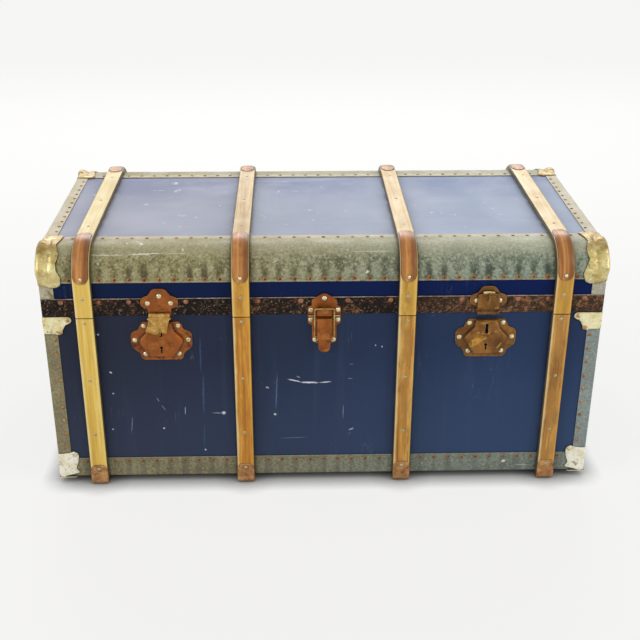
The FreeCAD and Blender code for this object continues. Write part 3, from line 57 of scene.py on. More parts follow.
def rgb(code):
    """A linear colour from a six-digit code."""
    parts = [int(code[n : n + 2], 16) / 255 for n in (0, 2, 4)]
    return tuple(c / 12.92 if c < 0.04045 else ((c + 0.055) / 1.055) ** 2.4 for c in parts) + (1.0,)


def node(tree, kind, inputs=(), out=0, **settings):
    """Adds a node with its inputs fed by name or number. Gives one of its outputs, or all with out None."""
    item = tree.nodes.new("ShaderNode" + kind)
    for key, setting in settings.items():
        setattr(item, key, setting)
    for key, value in dict(inputs).items():
        if isinstance(value, Value):
            tree.links.new(value.socket, item.inputs[key])
        else:
            item.inputs[key].default_value = rgb(value) if isinstance(value, str) else value
    if out is None:
        return [Value(tree, socket) for socket in item.outputs]
    return Value(tree, item.outputs[out])


class Value:
    """A node's output. Arithmetic on it adds nodes; & is the product of two masks, | the larger of them."""

    def __init__(self, tree, socket):
        self.tree = tree
        self.socket = socket

    def math(self, operation, other=0.0, clamp=False, swap=False):
        """A math node on this and another value, with swap in the other order."""
        pair = (other, self) if swap else (self, other)
        return node(self.tree, "Math", enumerate(pair), operation=operation, use_clamp=clamp)

    def __add__(self, other):
        return self.math("ADD", other)

    def __sub__(self, other):
        return self.math("SUBTRACT", other)

    def __mul__(self, other):
        return self.math("MULTIPLY", other)

    def __truediv__(self, other):
        return self.math("DIVIDE", other)

    def __abs__(self):
        return self.math("ABSOLUTE")

    def __and__(self, other):
        return self.math("MULTIPLY", other, clamp=True)

    def __rand__(self, other):
        return self.math("MULTIPLY", other, clamp=True, swap=True)

    def __or__(self, other):
        return self.math("MAXIMUM", other)

    def __ror__(self, other):
        return self.math("MAXIMUM", other, swap=True)

    def step(self, low, high, start=0.0, end=1.0):
        """Runs smoothly from start at low to end at high."""
        inputs = enumerate((self, low, high, start, end))
        return node(self.tree, "MapRange", inputs, interpolation_type="SMOOTHSTEP")


class Look:
    """A Principled material. Its textures use object coordinates, in metres; tint() paints on its colour."""

    def __init__(self, name, specular=0.5, coat=0.0, coat_roughness=0.1):
        self.material = bpy.data.materials.new(name)
        self.material.use_nodes = True
        self.tree = self.material.node_tree
        self.tree.nodes.clear()
        self.shader = {"Specular IOR Level": specular, "Coat Weight": coat, "Coat Roughness": coat_roughness}
        self.place = self.node("TexCoord", out="Object")
        self.x, self.y, self.z = self.node("SeparateXYZ", {0: self.place}, None)
        self.colour = self.height = None

    def node(self, kind, inputs=(), out=0, **settings):
        return node(self.tree, kind, inputs, out, **settings)

    def noise(self, scale, detail=4.0, rough=0.55, distort=0.0, at=(1, 1, 1)):
        """Noise, with object coordinates multiplied by at."""
        place = self.place
        if at != (1, 1, 1):
            place = self.node("VectorMath", {0: place, 1: at}, operation="MULTIPLY")
        shape = {"Scale": scale, "Detail": detail, "Roughness": rough, "Distortion": distort}
        return self.node("TexNoise", {"Vector": place, **shape})

    def mix(self, share, a, b):
        return self.node("Mix", {0: share, 6: a, 7: b}, 2, data_type="RGBA")

    def ramp(self, value, *stops):
        made = self.node("ValToRGB", {0: value})
        band = made.socket.node.color_ramp
        while len(band.elements) < len(stops):
            band.elements.new(0.5)
        for element, (position, colour) in zip(band.elements, stops):
            element.position = position
            element.color = rgb(colour)
        return made

    def tint(self, share, colour):
        """Mixes a share of a colour over what is there."""
        self.colour = self.mix(share, self.colour, colour)

    def raise_by(self, value, metres):
        """Adds a height in metres to the bump."""
        part = value * metres
        self.height = part if self.height is None else self.height + part

    def worn_edges(self, radius=0.0012):
        """1 on sharp outer edges, broken up by noise."""
        bevel = self.node("Bevel", {0: radius}, samples=6)
        normal = self.node("NewGeometry", out="Normal")
        dot = self.node("VectorMath", {0: bevel, 1: normal}, "Value", operation="DOT_PRODUCT")
        return dot.step(0.97, 0.85) & self.noise(300, 3).step(0.38, 0.6)

    def contact(self, reach, low=0.60, high=0.92):
        """1 where something stands close on the surface, within a reach in millimetres."""
        shade = self.node("AmbientOcclusion", {"Distance": reach * MM}, "AO", samples=5)
        return shade.step(high, low)

    def sides(self, low, high):
        """1 on the faces that look to the left or right."""
        return abs(self.node("SeparateXYZ", {0: self.node("TexCoord", out="Normal")})).step(low, high)

    def specks(self, scale, size, amount):
        """Small scattered dots: size is a share of a cell, amount the share of cells that have one."""
        near, chance = self.node("TexVoronoi", {"Vector": self.place, "Scale": scale}, None)[:2]
        chance = self.node("SeparateColor", {0: chance})
        return near.step(size, 0.5 * size) & chance.step(amount, 0.9 * amount)

    def marks(self, plane, table, shake=2.0):
        """Ragged spots and scratches in a plane. A row of the table is the middle's two places, half the
        length, half the width, the turn in degrees and the strength."""
        wave = self.node("TexNoise", {"Vector": self.place, "Scale": 190}, "Color")
        shaken = {0: wave, 1: (shake * MM,) * 3, 2: self.place}
        moved = self.node("VectorMath", shaken, operation="MULTIPLY_ADD")
        total = 0.0
        for a, b, half, width, turn, strength in table:
            a, b = (a + shake / 2) * MM, (b + shake / 2) * MM
            half, width, turn = half * MM, width * MM, math.radians(turn)
            if plane == "xy":
                spot = {"Location": (a, b, 0), "Rotation": (0, 0, turn), "Scale": (half, width, 100)}
            else:
                spot = {"Location": (a, 0, b), "Rotation": (0, -turn, 0), "Scale": (half, 100, width)}
            local = self.node("Mapping", {"Vector": moved, **spot}, vector_type="TEXTURE")
            ball = self.node("TexGradient", {0: local}, 1, gradient_type="SPHERICAL")
            total = total | ball.step(0.0, 0.5, 0.0, strength)
        return total

    def finish(self, roughness, metallic=0.0):
        bump = self.node("Bump", {"Strength": 1.0, "Distance": 1.0, "Height": self.height})
        self.shader.update({"Base Color": self.colour, "Roughness": roughness, "Metallic": metallic})
        surface = self.node("BsdfPrincipled", {"Normal": bump, **self.shader})
        self.node("OutputMaterial", {0: surface}, None)
        return self.material


# The larger spots and scratches in the paint, placed between the slats: middle, half length and half
# width in mm, turn in degrees, strength. The small ones are scattered by Look.specks().
TOP_MARKS = (
    (-268, 124, 9, 9, 0, 1.0), (-261, 80, 7, 12, -20, 0.9), (-295, 82, 18, 3, 0, 0.5),
    (-310, 5, 8, 6, 10, 0.6), (-240, -55, 12, 7, 0, 0.3), (-216, -63, 2, 4, 0, 0.8),
    (-178, -4, 2, 4, 0, 0.8), (-269, -90, 3, 4, 0, 0.5), (-241, -108, 4, 3, 0, 0.5),
    (-410, 58, 3, 5, 0, 0.9), (-75, 73, 3, 9, -15, 0.9), (-46, 73, 10, 2, 0, 0.6),
    (-66, 128, 14, 3, 15, 0.6), (-104, -55, 24, 1.2, -55, 0.5), (-19, -30, 5, 4, 0, 0.8),
    (-61, -102, 2, 3, 0, 0.7), (-15, -82, 2, 4, 0, 0.7), (4, 96, 3, 5, 0, 0.6), (-6, -43, 5, 3, 0, 0.5),
    (44, -36, 6, 4, 0, 0.6), (194, -48, 5, 4, -15, 0.8), (210, -50, 3, 4, 0, 0.6),
    (229, -60, 8, 3, -20, 0.9), (295, 3, 3, 4, 0, 0.9), (304, -28, 3, 3, 0, 0.9),
    (312, -58, 10, 2, 25, 0.8), (302, -75, 8, 1.5, 0, 0.4), (354, 18, 6, 2, -20, 0.4),
)
FRONT_MARKS = (
    (-50, 196, 14, 1.5, -14, 0.95), (-24, 192, 18, 2, -2, 1.0), (2, 192, 12, 1.4, 5, 0.9),
    (-43, 203, 4, 1.5, -25, 0.4), (-170, 135, 4, 4, 0, 0.75), (-180, 135, 12, 1, 0, 0.35),
    (-355, 215, 3, 2, -30, 0.9), (-370, 285, 2, 2, 0, 0.7), (-354, 175, 2, 2, 0, 0.5),
    (-360, 105, 2, 2, 0, 0.6), (-273, 106, 2, 2, 0, 0.8), (-204, 62, 2, 2, 0, 0.8),
    (-235, 140, 10, 1, 88, 0.4), (-280, 162, 5, 1, -60, 0.3), (-271, 146, 8, 0.8, -55, 0.3),
    (-327, 113, 20, 0.8, 84, 0.25), (-95, 183, 4, 2, -20, 0.6), (-83, 131, 2.5, 2.5, 0, 0.85),
    (-80, 175, 40, 1, 87, 0.1), (85, 261, 1.5, 2, 0, 0.6), (96, 258, 1.5, 2, 0, 0.6),
    (33, 135, 16, 0.8, 90, 0.3), (47, 100, 6, 2, 20, 0.4), (-52, 84, 28, 0.8, 2, 0.16),
    (46, 226, 4, 0.8, 0, 0.25), (44, 199, 5, 0.8, 0, 0.3),
)
BLUE_STREAKS = (
    (-205, 245, 40, 1.5, 89, 0.35), (-203, 170, 45, 2, 88, 0.42), (-205, 90, 28, 1.3, 86, 0.32),
    (-80, 175, 42, 1.5, 87, 0.5),
)


def blue_paint(name, faded_with_sheen):
    """Blue paint on boards. With the second argument true, it is chalky over the lid's flat top, with a
    painted sheen there that fades towards the back.
    """
    look = Look(name, specular=0.08 if faded_with_sheen else 0.15)
    across = look.x.step(-0.42, 0.42)
    cloud = look.noise(5, 5, 0.6)
    left = look.mix(cloud, "1F2537", "2A3043")
    right = look.mix(cloud, "22365A", "2F4568")
    look.colour = look.mix(across, left, right)
    high = look.z.step(0.15, 0.31, 0, 0.34)
    look.tint(high, look.mix(across, "1C2234", "122142"))
    # Lighter towards the bottom: a painted reflection of the floor
    low = look.z.step(0.26, 0.05)
    look.tint(low * 0.42, look.mix(across, "3C4660", "3C5072"))
    streak = look.noise(30, 3, 0.6, at=(1.0, 1.0, 0.05))
    look.tint(streak.step(0.52, 0.78, 0, 0.20), "4C5873")
    deep = look.mix(across, "0E1E42", "081D50")
    look.tint(look.z.step(0.335, 0.350), deep)
    rough = look.noise(9, 4).step(0.3, 0.7, 0.34, 0.50)
    if faded_with_sheen:
        top = look.z.step(0.404, 0.4255)
        film = look.noise(7, 6, 0.62)
        # Chalky tones over the top: partly the paint's own fading, partly a painted sheen, the bright
        # reflection off the flat top, with less of it towards the back
        back = look.y.step(-0.02, 0.16)
        chalk_and_sheen = look.mix(across, "A2A5B6", "A4B0C6")
        chalk_and_sheen = look.mix(back, chalk_and_sheen, look.mix(across, "868CA8", "8E9ABA"))
        chalk_and_sheen = look.mix(film.step(0.38, 0.64, 0, 0.45), chalk_and_sheen, look.mix(across, "B2B4C0", "B6BFD0"))
        drag = look.noise(26, 5, 0.7, at=(0.12, 1.0, 1.0))
        chalk_and_sheen = look.mix(drag.step(0.52, 0.75, 0, 0.30), chalk_and_sheen, "C2C5D0")
        look.tint(top, chalk_and_sheen)
        rough = rough + top * 0.12
        worn = look.marks("xy", TOP_MARKS, 3.0) & look.noise(210, 4, 0.7).step(0.42, 0.54) & top
        scatter = look.specks(30, 0.05, 0.30) | look.specks(75, 0.09, 0.20) * 0.6
        worn = worn | scatter & top
    else:
        front = look.y.step(-0.226, -0.230)
        blue = look.marks("xz", BLUE_STREAKS, 3.0) & look.noise(60, 4, 0.7).step(0.32, 0.5) & front
        look.tint(blue, "52699C")
        worn = look.marks("xz", FRONT_MARKS) & look.noise(300, 4, 0.7).step(0.28, 0.44) & front
        worn = worn | look.specks(21, 0.045, 0.14) * 0.5
    hair = look.noise(90, 2, 0.5, 0.6, at=(1.0, 1.0, 0.08))
    hair = abs(hair - 0.5)
    thin = hair.step(0.004, 0.0) & look.noise(12, 3).step(0.56, 0.66)
    worn = worn | thin * 0.14
    # Painted shade: darker, broken by noise, where something stands close
    contact_shade = look.contact(7.0) & look.noise(45, 4).step(0.30, 0.55)
    look.tint(contact_shade * 0.45, "0B0F1C")
    look.tint(worn, "DDE2EA")
    look.raise_by(look.noise(420, 2), 0.00003)
    look.raise_by(look.noise(45, 3), 0.00022)
    look.raise_by(worn, -0.00008)
    return look.finish(rough.math("ADD", worn * 0.25, clamp=True))


def nail_halo(along, line_axis, line, spread):
    """Stains round a row of nails that runs along one axis, at a place on another."""
    shifted = (along + NAIL_ROW * MM) / (NAIL_STEP * MM)
    near = abs((shifted + 0.5).math("FRACT") - 0.5)
    a = near * (NAIL_STEP * MM)
    b = line_axis - line * MM
    far = (a * a + b * b).math("SQRT")
    return far.step(spread * MM, 0.4 * spread * MM)


# Chips, creases and scuffs in the fibre: the first table on its upright side, the second on its flat top
FIBRE_MARKS = (
    (-348, 418, 36, 0.8, 0, 0.8), (-287, 419, 34, 1.0, 1, 1.0), (-238, 419, 22, 0.6, 1, 0.6),
    (75, 420, 44, 0.6, 0, 0.6), (-361, 407, 2.2, 2.2, 0, 0.7), (-227, 423, 2.2, 1.6, 0, 0.8),
    (-78, 409, 7, 1.2, 20, 0.5), (12, 407, 8, 1.0, -25, 0.4), (38, 422, 2.4, 1.4, 0, 0.6),
    (69, 393, 4, 3, 30, 1.0), (163, 414, 3.0, 1.6, 0, 0.5), (315, 32, 4.5, 3.5, 20, 1.0),
    (172, 30, 2.4, 2.0, 0, 0.6), (349, 24, 19, 0.8, 0, 0.6), (-158, 398, 3.0, 1.0, -50, 0.6),
)
FIBRE_TOP_MARKS = (
    (-295, -190, 5.5, 3.4, -62, 1.0), (-302, -181, 6.0, 1.2, -50, 0.7), (-318, -189, 2.0, 2.6, 0, 0.8),
    (-190, -196, 1.6, 2.0, 0, 0.7), (208, -186, 2.0, 2.0, 0, 0.5), (80, -162, 4.0, 3.0, 0, 0.8),
)


def vulcanised_fibre(name, tone):
    """Grey-green fibre: leather-grained; darker over its nails as painted shade and lighter between them as a
    painted highlight on the puckers; paler on top, partly as painted light from above; pale along its edges;
    painted shade where things stand close.
    """
    look = Look(name, specular=0.22)
    across = look.x.step(-0.28, 0.34)
    blotch = look.noise(26, 6, 0.7)
    warm = look.ramp(blotch, (0.30, "6E673F"), (0.50, "8F875E"), (0.70, "A9A27C"))
    cool = look.ramp(blotch, (0.30, "57634F"), (0.50, "7A8470"), (0.70, "9CA590"))
    look.colour = look.mix(across, warm, cool)
    green = look.noise(48, 4, 0.7).step(0.56, 0.70, 0, 0.35)
    look.tint(green, "8C9450")
    fleck = look.noise(215, 5, 0.75)
    look.tint(fleck.step(0.51, 0.62, 0, 0.74), look.mix(across, "BDB68E", "B4BBA4"))
    look.tint(fleck.step(0.49, 0.37, 0, 0.80), look.mix(across, "4A462C", "38443A"))
    pitch = (look.x + NAIL_ROW * MM) * (2 * math.pi / (NAIL_STEP * MM))
    wave = pitch.math("COSINE") * 0.24
    ragged = wave + look.noise(34, 4, 0.6, at=(1, 1, 0.4))
    rows, worn = [], 0.0
    if tone == "lid":
        zone = look.z.step(0.377, 0.387) & look.z.step(0.416, 0.392)
        # Painted shade over the nails, and a painted highlight on the puckers between them
        smudge_and_shade = ragged.step(0.50, 0.82) & zone
        look.tint(smudge_and_shade * 0.84, look.mix(across, "4B452E", "35413A"))
        fold = ragged.step(0.48, 0.24) & zone
        look.tint(fold * 0.40, look.mix(across, "B2AA84", "A7B2A2"))
        # Paler on top: partly the fibre's own tone, partly painted light from above
        up = look.z.step(0.408, 0.4275)
        look.tint(up * 0.52, look.mix(across, "B9B08E", "D0CDB2"))
        depth = abs(look.y)
        rim = depth.step(0.1725, 0.164) & up
        look.tint(rim * 0.60, "D6CAB2")
        foot = look.z.step(0.3805, 0.3785) & look.noise(60, 3).step(0.36, 0.5)
        look.tint(foot * 0.55, "CFC4B0")
        rows = [
            nail_halo(look.x, look.z, 382.0, 6.6),
            nail_halo(look.x, depth, 166.0, 5.0) * 0.6,
        ]
        upright = look.marks("xz", FIBRE_MARKS, 2.6) & look.y.step(-0.184, -0.19)
        flat = look.marks("xy", FIBRE_TOP_MARKS, 2.6) & up
        worn = upright | flat
    elif tone == "bottom":
        # Painted shade over the nails, on the puckers
        smudge_and_shade = ragged.step(0.46, 0.80)
        look.tint(smudge_and_shade * 0.50, "3C3F36")
        look.tint(0.46, look.mix(across, "726C5C", "787F7E"))
        edge = look.z.step(0.0472, 0.0486)
        look.tint(edge * 0.45, "B5AF98")
        rows = [nail_halo(look.x, look.z, 42.0, 5.4)]
        worn = look.marks("xz", FIBRE_MARKS) & look.y.step(-0.2, -0.21)
    else:
        smudge_and_shade = look.noise(22, 4, 0.6).step(0.52, 0.36)
        look.tint(smudge_and_shade * 0.4, "4A4838")
        look.tint(0.5, look.mix(across, "8A7F66", "98A2A6"))
    long_side = abs(look.x).step(0.4565, 0.4550)
    for row in rows:
        ring = row & long_side & look.noise(150, 4).step(0.36, 0.50)
        look.tint(ring * 0.80, "A87844")
    # Painted shade beside the slats, caps and fittings, where something stands close
    near = look.contact(5.0, 0.62, 0.96) & look.noise(60, 3).step(0.20, 0.45)
    look.tint(near * 0.72, "24241A")
    pale = look.noise(70, 5, 0.7).step(0.67, 0.74) & look.noise(7, 2).step(0.45, 0.6)
    pale = pale * 0.5 | worn & look.noise(260, 3, 0.7).step(0.3, 0.46)
    look.tint(pale, "DEDACA")
    look.raise_by(fleck, 0.00022)
    look.raise_by(look.noise(75, 4, 0.6), 0.0005)
    return look.finish(look.noise(30, 3).step(0.3, 0.7, 0.44, 0.64))


def ash(name, tones, stain, seam, top, middle=0.0, core=None, rim=0):
    """Varnished ash with painted shade on its sides and where things stand close, and painted highlights
    along its edges; grain along the slat. tones holds the light, mid and dark codes.

    seam is the tone over the lid's joint, top the two codes on the lid, paler partly as painted light, core a
    stained stripe down the slat, rim the side of its pale edge, a painted highlight.
    """
    light, mid, dark = tones.split()
    look = Look(name, specular=0.3, coat=0.12, coat_roughness=0.3)
    rings = look.noise(1.0, 5, 0.62, 0.4, at=(190, 7, 7))
    broad = look.noise(1.0, 3, 0.5, at=(62, 3.0, 3.0))
    pore = look.noise(1.0, 2, 0.6, at=(900, 26, 26))
    grain = rings * 0.6 + broad * 0.4
    look.colour = look.ramp(grain, (0.34, dark), (0.50, mid), (0.66, light))
    look.tint(pore.step(0.42, 0.30, 0, 0.35), dark)
    patch = look.noise(13, 5, 0.65, at=(2.4, 0.9, 0.9)).step(0.48, 0.64)
    look.tint(patch * stain, dark)
    above = look.z.step(0.3185, 0.3195)
    look.tint(above * 0.62, seam)
    wander = look.noise(16, 3) * 0.008
    across = look.x - (middle * MM + 0.004) + wander
    if core:
        stripe = abs(across).step(0.0105, 0.0035, 0, 0.80)
        stripe = stripe & look.noise(1.0, 4, 0.7, at=(40, 15, 15)).step(0.36, 0.58)
        look.tint(stripe, core)
    # Painted highlights: both edges lighter, as rounded edges catch the light
    edges = abs(across).step(0.0085, 0.0125, 0, 0.50)
    look.tint(edges, light)
    # A painted highlight along one edge
    if rim:
        pale = (across * rim).step(0.0092, 0.0132, 0, 0.70)
        look.tint(pale, "EBD6A0")
    # Paler on the lid's top: partly the wood's own tone, partly painted light from above
    up = look.z.step(0.428, 0.4365)
    pale_top = look.mix(grain.step(0.38, 0.62), *top.split())
    look.tint(up * 0.70, pale_top)
    marks = look.noise(150, 3, 0.7).step(0.66, 0.74) & look.noise(18, 2).step(0.48, 0.58)
    look.tint(marks * 0.60, "3A2A18")
    edge = look.worn_edges(0.0016)
    look.tint(edge * 0.35, light)
    # Painted shade: the slats' sides darkened, and more where something stands close
    look.tint(look.sides(0.55, 0.85) * 0.86, "1C140C")
    look.tint(look.contact(4.0, 0.6, 0.95) * 0.70, "2C1C0E")
    look.raise_by(rings, 0.00018)
    look.raise_by(pore, 0.00010)
    look.raise_by(marks, -0.0002)
    rough = look.noise(25, 3).step(0.3, 0.7, 0.36, 0.54)
    return look.finish(rough)


def pressed_cap(name, light, mid, dark):
    """Brown pressed caps: glossy streaks along the slat; painted shade on the right of the ridge, at the
    sides and where things stand close, and a painted highlight along the ridge.
    """
    look = Look(name, specular=0.32, coat=0.14, coat_roughness=0.22)
    streak = look.noise(1.0, 4, 0.6, 0.3, at=(120, 10, 10))
    cloud = look.noise(34, 5, 0.65)
    look.colour = look.ramp(streak, (0.30, dark), (0.50, mid), (0.70, light))
    look.tint(cloud.step(0.50, 0.68, 0, 0.45), dark)
    look.tint(cloud.step(0.46, 0.32, 0, 0.40), light)
    off = abs(look.x) - PAIR_MIDDLE * MM
    way = off.math("SIGN") * look.x.math("SIGN")
    across = (abs(off) - PAIR_HALF * MM) * way
    across = across + (look.noise(22, 3) - 0.5) * 0.006
    # Painted shade on the right of the ridge, and a painted highlight along it
    look.tint(across.step(0.0005, 0.0075, 0, 0.60), "663A1C")
    ridge = abs(across + 0.0035).step(0.0026, 0.0006, 0, 0.45)
    look.tint(ridge, "E0A868")
    # Painted shade on the steep sides and where something stands close
    look.tint(look.sides(0.50, 0.75) * 0.75, "4A2A14")
    look.tint(look.contact(3.2) * 0.75, "3A2012")
    look.raise_by(streak, 0.00016)
    look.raise_by(look.noise(60, 3), 0.0003)
    return look.finish(look.noise(45, 4).step(0.3, 0.7, 0.30, 0.48))


BAND_MARKS = (
    (215, 330, 17, 0.9, 40, 0.9), (-367, 338, 12, 0.8, 20, 0.6), (-330, 329, 5, 2.4, 10, 0.5),
    (330, 328, 4, 2.0, 30, 0.8), (345, 341, 6, 3.0, 10, 0.6), (-210, 341, 3, 2.0, 0, 0.6),
    (60, 325, 6, 1.4, -20, 0.7), (35, 327, 4, 2, 0, 0.5),
)


def japanned_band(name):
    """Black steel band, its lacquer broken by rust and fine gold flecks."""
    look = Look(name, specular=0.2)
    crust = look.noise(150, 6, 0.78, 0.6)
    broad = look.noise(20, 4, 0.6)
    both = crust * 0.74 + broad * 0.26
    look.colour = look.ramp(both, (0.45, "0C0A09"), (0.515, "1C1512"), (0.565, "4E3020"), (0.63, "8E6640"))
    right = look.x.step(0.10, 0.30)
    rust = look.noise(95, 5, 0.7).step(0.50, 0.62) & right
    look.tint(rust * 0.90, "96643E")
    look.tint(right * 0.16, "8A6444")
    black = look.noise(42, 4, 0.7).step(0.53, 0.60) & look.x.step(0.22, 0.30)
    look.tint(black * 0.75, "0D0B0B")
    fleck = look.noise(240, 4, 0.75).step(0.59, 0.66)
    look.tint(fleck * 0.7, "AE966A")
    vein = abs(look.noise(55, 3, 0.6, 1.6) - 0.5)
    scar = vein.step(0.010, 0.002) & look.noise(14, 2).step(0.50, 0.58)
    cut = look.marks("xz", BAND_MARKS) & look.y.step(-0.2, -0.21)
    scar = scar | cut
    look.tint(scar * 0.8, "94705A")
    look.raise_by(crust, 0.0009)
    look.raise_by(broad, 0.0004)
    look.raise_by(scar, 0.0002)
    return look.finish(crust.step(0.4, 0.65, 0.40, 0.78), both.step(0.60, 0.50, 0.0, 0.30))


def metal(
    name, tones, rough, scale=60.0, metallic=0.85, pits=0.0, dents=0.0006, spots=(), patch=None, soil_and_shade=0.8,
    rim=1.2, extra=None, reach=3.2, rubbed_and_highlit=None,
):
    """Worn metal, mottled in the light, mid and dark of its four tones; the fourth is grime, in patches and
    pits, and round fittings as grime and painted shade. Worn edges are paler, on copper and bronze also a
    painted highlight. spots are marks in the colour patch; extra tints what is special to one piece."""
    look = Look(name, specular=0.32)
    light, mid, dark, grime = tones.split()
    look.colour = look.ramp(look.noise(scale, 6, 0.65), (0.34, dark), (0.50, mid), (0.66, light))
    dirt = look.noise(scale * 2.4, 5, 0.7).step(0.54, 0.66) & look.noise(28, 3).step(0.40, 0.58)
    look.tint(dirt * 0.75, grime)
    if spots:
        look.tint(look.marks("xz", spots) & look.noise(170, 4, 0.7).step(0.34, 0.54), patch)
    look.raise_by(look.noise(38, 3), dents)
    look.raise_by(look.noise(scale * 4, 4), 0.00012)
    if pits:
        hole = look.noise(150, 4, 0.75, 1.0).step(0.60, 0.66) & look.noise(40, 2).step(0.40, 0.52)
        look.tint(hole * pits, grime)
        look.raise_by(hole, -0.0004)
    if extra:
        extra(look)
    # Painted shade and grime round fittings, where something stands close
    near = look.contact(reach, 0.60, 0.94)
    look.tint(near * soil_and_shade, grime)
    # Paler worn edges; the copper and bronze edge tones are also a painted highlight
    look.tint(look.worn_edges(rim * MM) * (0.70 if rubbed_and_highlit else 0.55), rubbed_and_highlit or light)
    shine = look.noise(45, 4).step(0.3, 0.7, *rough)
    return look.finish(shine, (dirt | near).step(0.0, 1.0, metallic, 0.2 * metallic))


def tarnish_and_bead_highlight(look):
    """Orange tarnish where a corner piece turns over the lid, and a painted highlight down its outer bead."""
    over = look.z.step(0.420, 0.430) & look.noise(34, 4, 0.7).step(0.34, 0.54)
    look.tint(over * 0.72, "8E6C30")
    # Painted highlight: a pale streak down the outer bead
    outer = abs(look.x).step(0.4585, 0.4605) & look.z.step(0.378, 0.388)
    outer = outer & look.z.step(0.428, 0.420)
    look.tint(outer * 0.55, "F4F0DC")


def dull_on_slats(look):
    """The rivets in the slats are duller than those of the fittings and of the caps."""
    off = abs(abs(look.x) - PAIR_MIDDLE * MM)
    slat = abs(off - PAIR_HALF * MM).step(0.010, 0.008)
    cap = abs(look.z - 0.386).step(0.006, 0.009)
    look.tint((slat & cap) * 0.72, "8F845E")
    rim = abs(look.x).step(0.402, 0.404) & look.z.step(0.270, 0.275)
    rim = rim & look.z.step(0.322, 0.319) & look.noise(230, 3).step(0.34, 0.50)
    look.tint(rim * 0.80, "A8682E")


def shaded_nail_cores(look):
    """Painted shade in the middles of the nails of the front rows, a little off centre, and a grey-brown tint
    low down; the rust round them is painted on the fibre.
    """
    # Painted shade in each nail head, a little off centre
    for line in (382.0, 42.0):
        core = nail_halo(look.x - 0.0008, look.z, line + 0.4, 2.6)
        look.tint(core * 0.92, "2C1610")
    low = look.z.step(0.060, 0.050, 0, 0.45)
    look.tint(low, "6E5C46")


def leather(name):
    look = Look(name, specular=0.45)
    hide = look.node("TexVoronoi", {"Vector": look.place, "Scale": 620}, feature="DISTANCE_TO_EDGE")
    creases = look.noise(90, 5, 0.7)
    look.colour = look.ramp(creases, (0.34, "2A160C"), (0.52, "4E2D19"), (0.70, "7A4C2C"))
    edge = look.worn_edges(0.002)
    look.tint(edge * 0.5, "A0703F")
    look.raise_by(hide.step(0.0, 0.12), 0.00010)
    look.raise_by(creases, 0.0004)
    return look.finish(creases.step(0.3, 0.7, 0.38, 0.62))


def lining_paper(name):
    look = Look(name, specular=0.25)
    fox = look.noise(16, 6, 0.7)
    look.colour = look.ramp(fox, (0.34, "A09270"), (0.52, "BDAF8A"), (0.70, "CDC1A0"))
    ribs = ((look.x + look.y) * (2 * math.pi / 0.018)).math("SINE")
    look.tint(ribs.step(0.55, 0.95, 0, 0.30), "8E7D5A")
    spot = look.noise(70, 3, 0.6).step(0.66, 0.74) & look.noise(6, 2).step(0.45, 0.6)
    look.tint(spot * 0.5, "6B5636")
    look.raise_by(look.noise(600, 2), 0.00008)
    look.raise_by(look.noise(20, 3), 0.0004)
    return look.finish(fox.step(0.3, 0.7, 0.75, 0.92))


def bare_wood(name):
    look = Look(name, specular=0.3)
    grain = look.noise(1.0, 5, 0.6, 0.5, at=(9, 9, 160))
    look.colour = look.ramp(grain, (0.34, "7A5A34"), (0.52, "A9834F"), (0.68, "C6A36C"))
    look.raise_by(grain, 0.0003)
    return look.finish(grain.step(0.3, 0.7, 0.60, 0.80))


def linen_thread(name):
    look = Look(name, specular=0.3)
    twist = look.noise(900, 3)
    look.colour = look.ramp(twist, (0.35, "8A7448"), (0.65, "CDB98C"))
    look.raise_by(twist, 0.0002)
    return look.finish(twist.step(0.3, 0.7, 0.7, 0.9))


GILT_SPOTS = (
    (250, 270, 14, 8, 25, 0.85), (262, 276, 8, 5, 0, 0.6), (244, 264, 6, 6, 0, 0.7),
    (261, 284.6, 2.4, 2, 0, 1.0), (271, 284.8, 2.6, 2.2, 0, 1.0), (253, 286, 2.4, 2.2, 0, 0.8),
    (282, 288, 3, 2.4, 0, 0.5), (289, 262, 9, 1.8, 55, 0.7), (262, 303, 9, 2.6, 0, 0.5),
    (285, 300, 9, 2.0, -50, 0.5), (275, 318.5, 6, 2, 0, 0.7), (281, 330, 6, 2.4, 20, 0.5),
    # The last row is a painted highlight down the front of the staple
    (267.6, 345, 1.6, 6.5, 0, 1.0),
)
COPPER_SPOTS = (
    (2, 329, 10, 6.5, 0, 0.75), (2, 315.6, 11, 0.9, 0, 1.0), (2.5, 284, 9, 7, 0, 0.5),
    (2.6, 279.5, 10, 1.0, 0, 0.7), (2.8, 258, 7, 2.6, 0, 0.9), (-280, 268, 13, 9, 20, 0.45),
    (-265, 275, 7, 9, 0, 0.4), (-254, 262, 10, 6, 0, 0.35), (-296, 284, 6, 10, -30, 0.4),
    (-240, 345, 8, 4, -30, 0.4), (-292, 345, 8, 4, 30, 0.4),
)
paint_body = blue_paint("blue_body", False)
paint_lid = blue_paint("blue_lid", True)
fibre_lid = vulcanised_fibre("fibre_lid", "lid")
fibre_bottom = vulcanised_fibre("fibre_bottom", "bottom")
fibre_upright = vulcanised_fibre("fibre_upright", "upright")
slat_yellow = ash("ash_yellow", "FAE28C E8C25A CA9C38", 0.14, "E6C05C", "D0BA7E E4D2A0", -388, None, -1)
slat_honey = ash("ash_honey", "F2BC50 CC8A2C 9C5C16", 0.35, "E0B44E", "AE9058 CEB888", -135, "B2721E", -1)
slat_plain = ash("ash_plain", "E2B25C BE8A3C 905E2A", 0.35, "C29444", "C8B084 E0CCA0")
slat_deep = ash("ash_deep", "F0C46A C88E38 865018", 0.70, "E4BC4C", "D4B27C E8D2A6", 135, "AA7834", -1)
slat_umber = ash("ash_umber", "E2AC54 B88236 7A4E1C", 0.70, "D6A63C", "E6CC94 F8EABA", 388, "A87A3A", -1)
band_steel = japanned_band("band_steel")
band_edge = metal("band_edge", "C4B4A8 968478 5E4E46 2C221C", (0.4, 0.6), 90, 0.3)
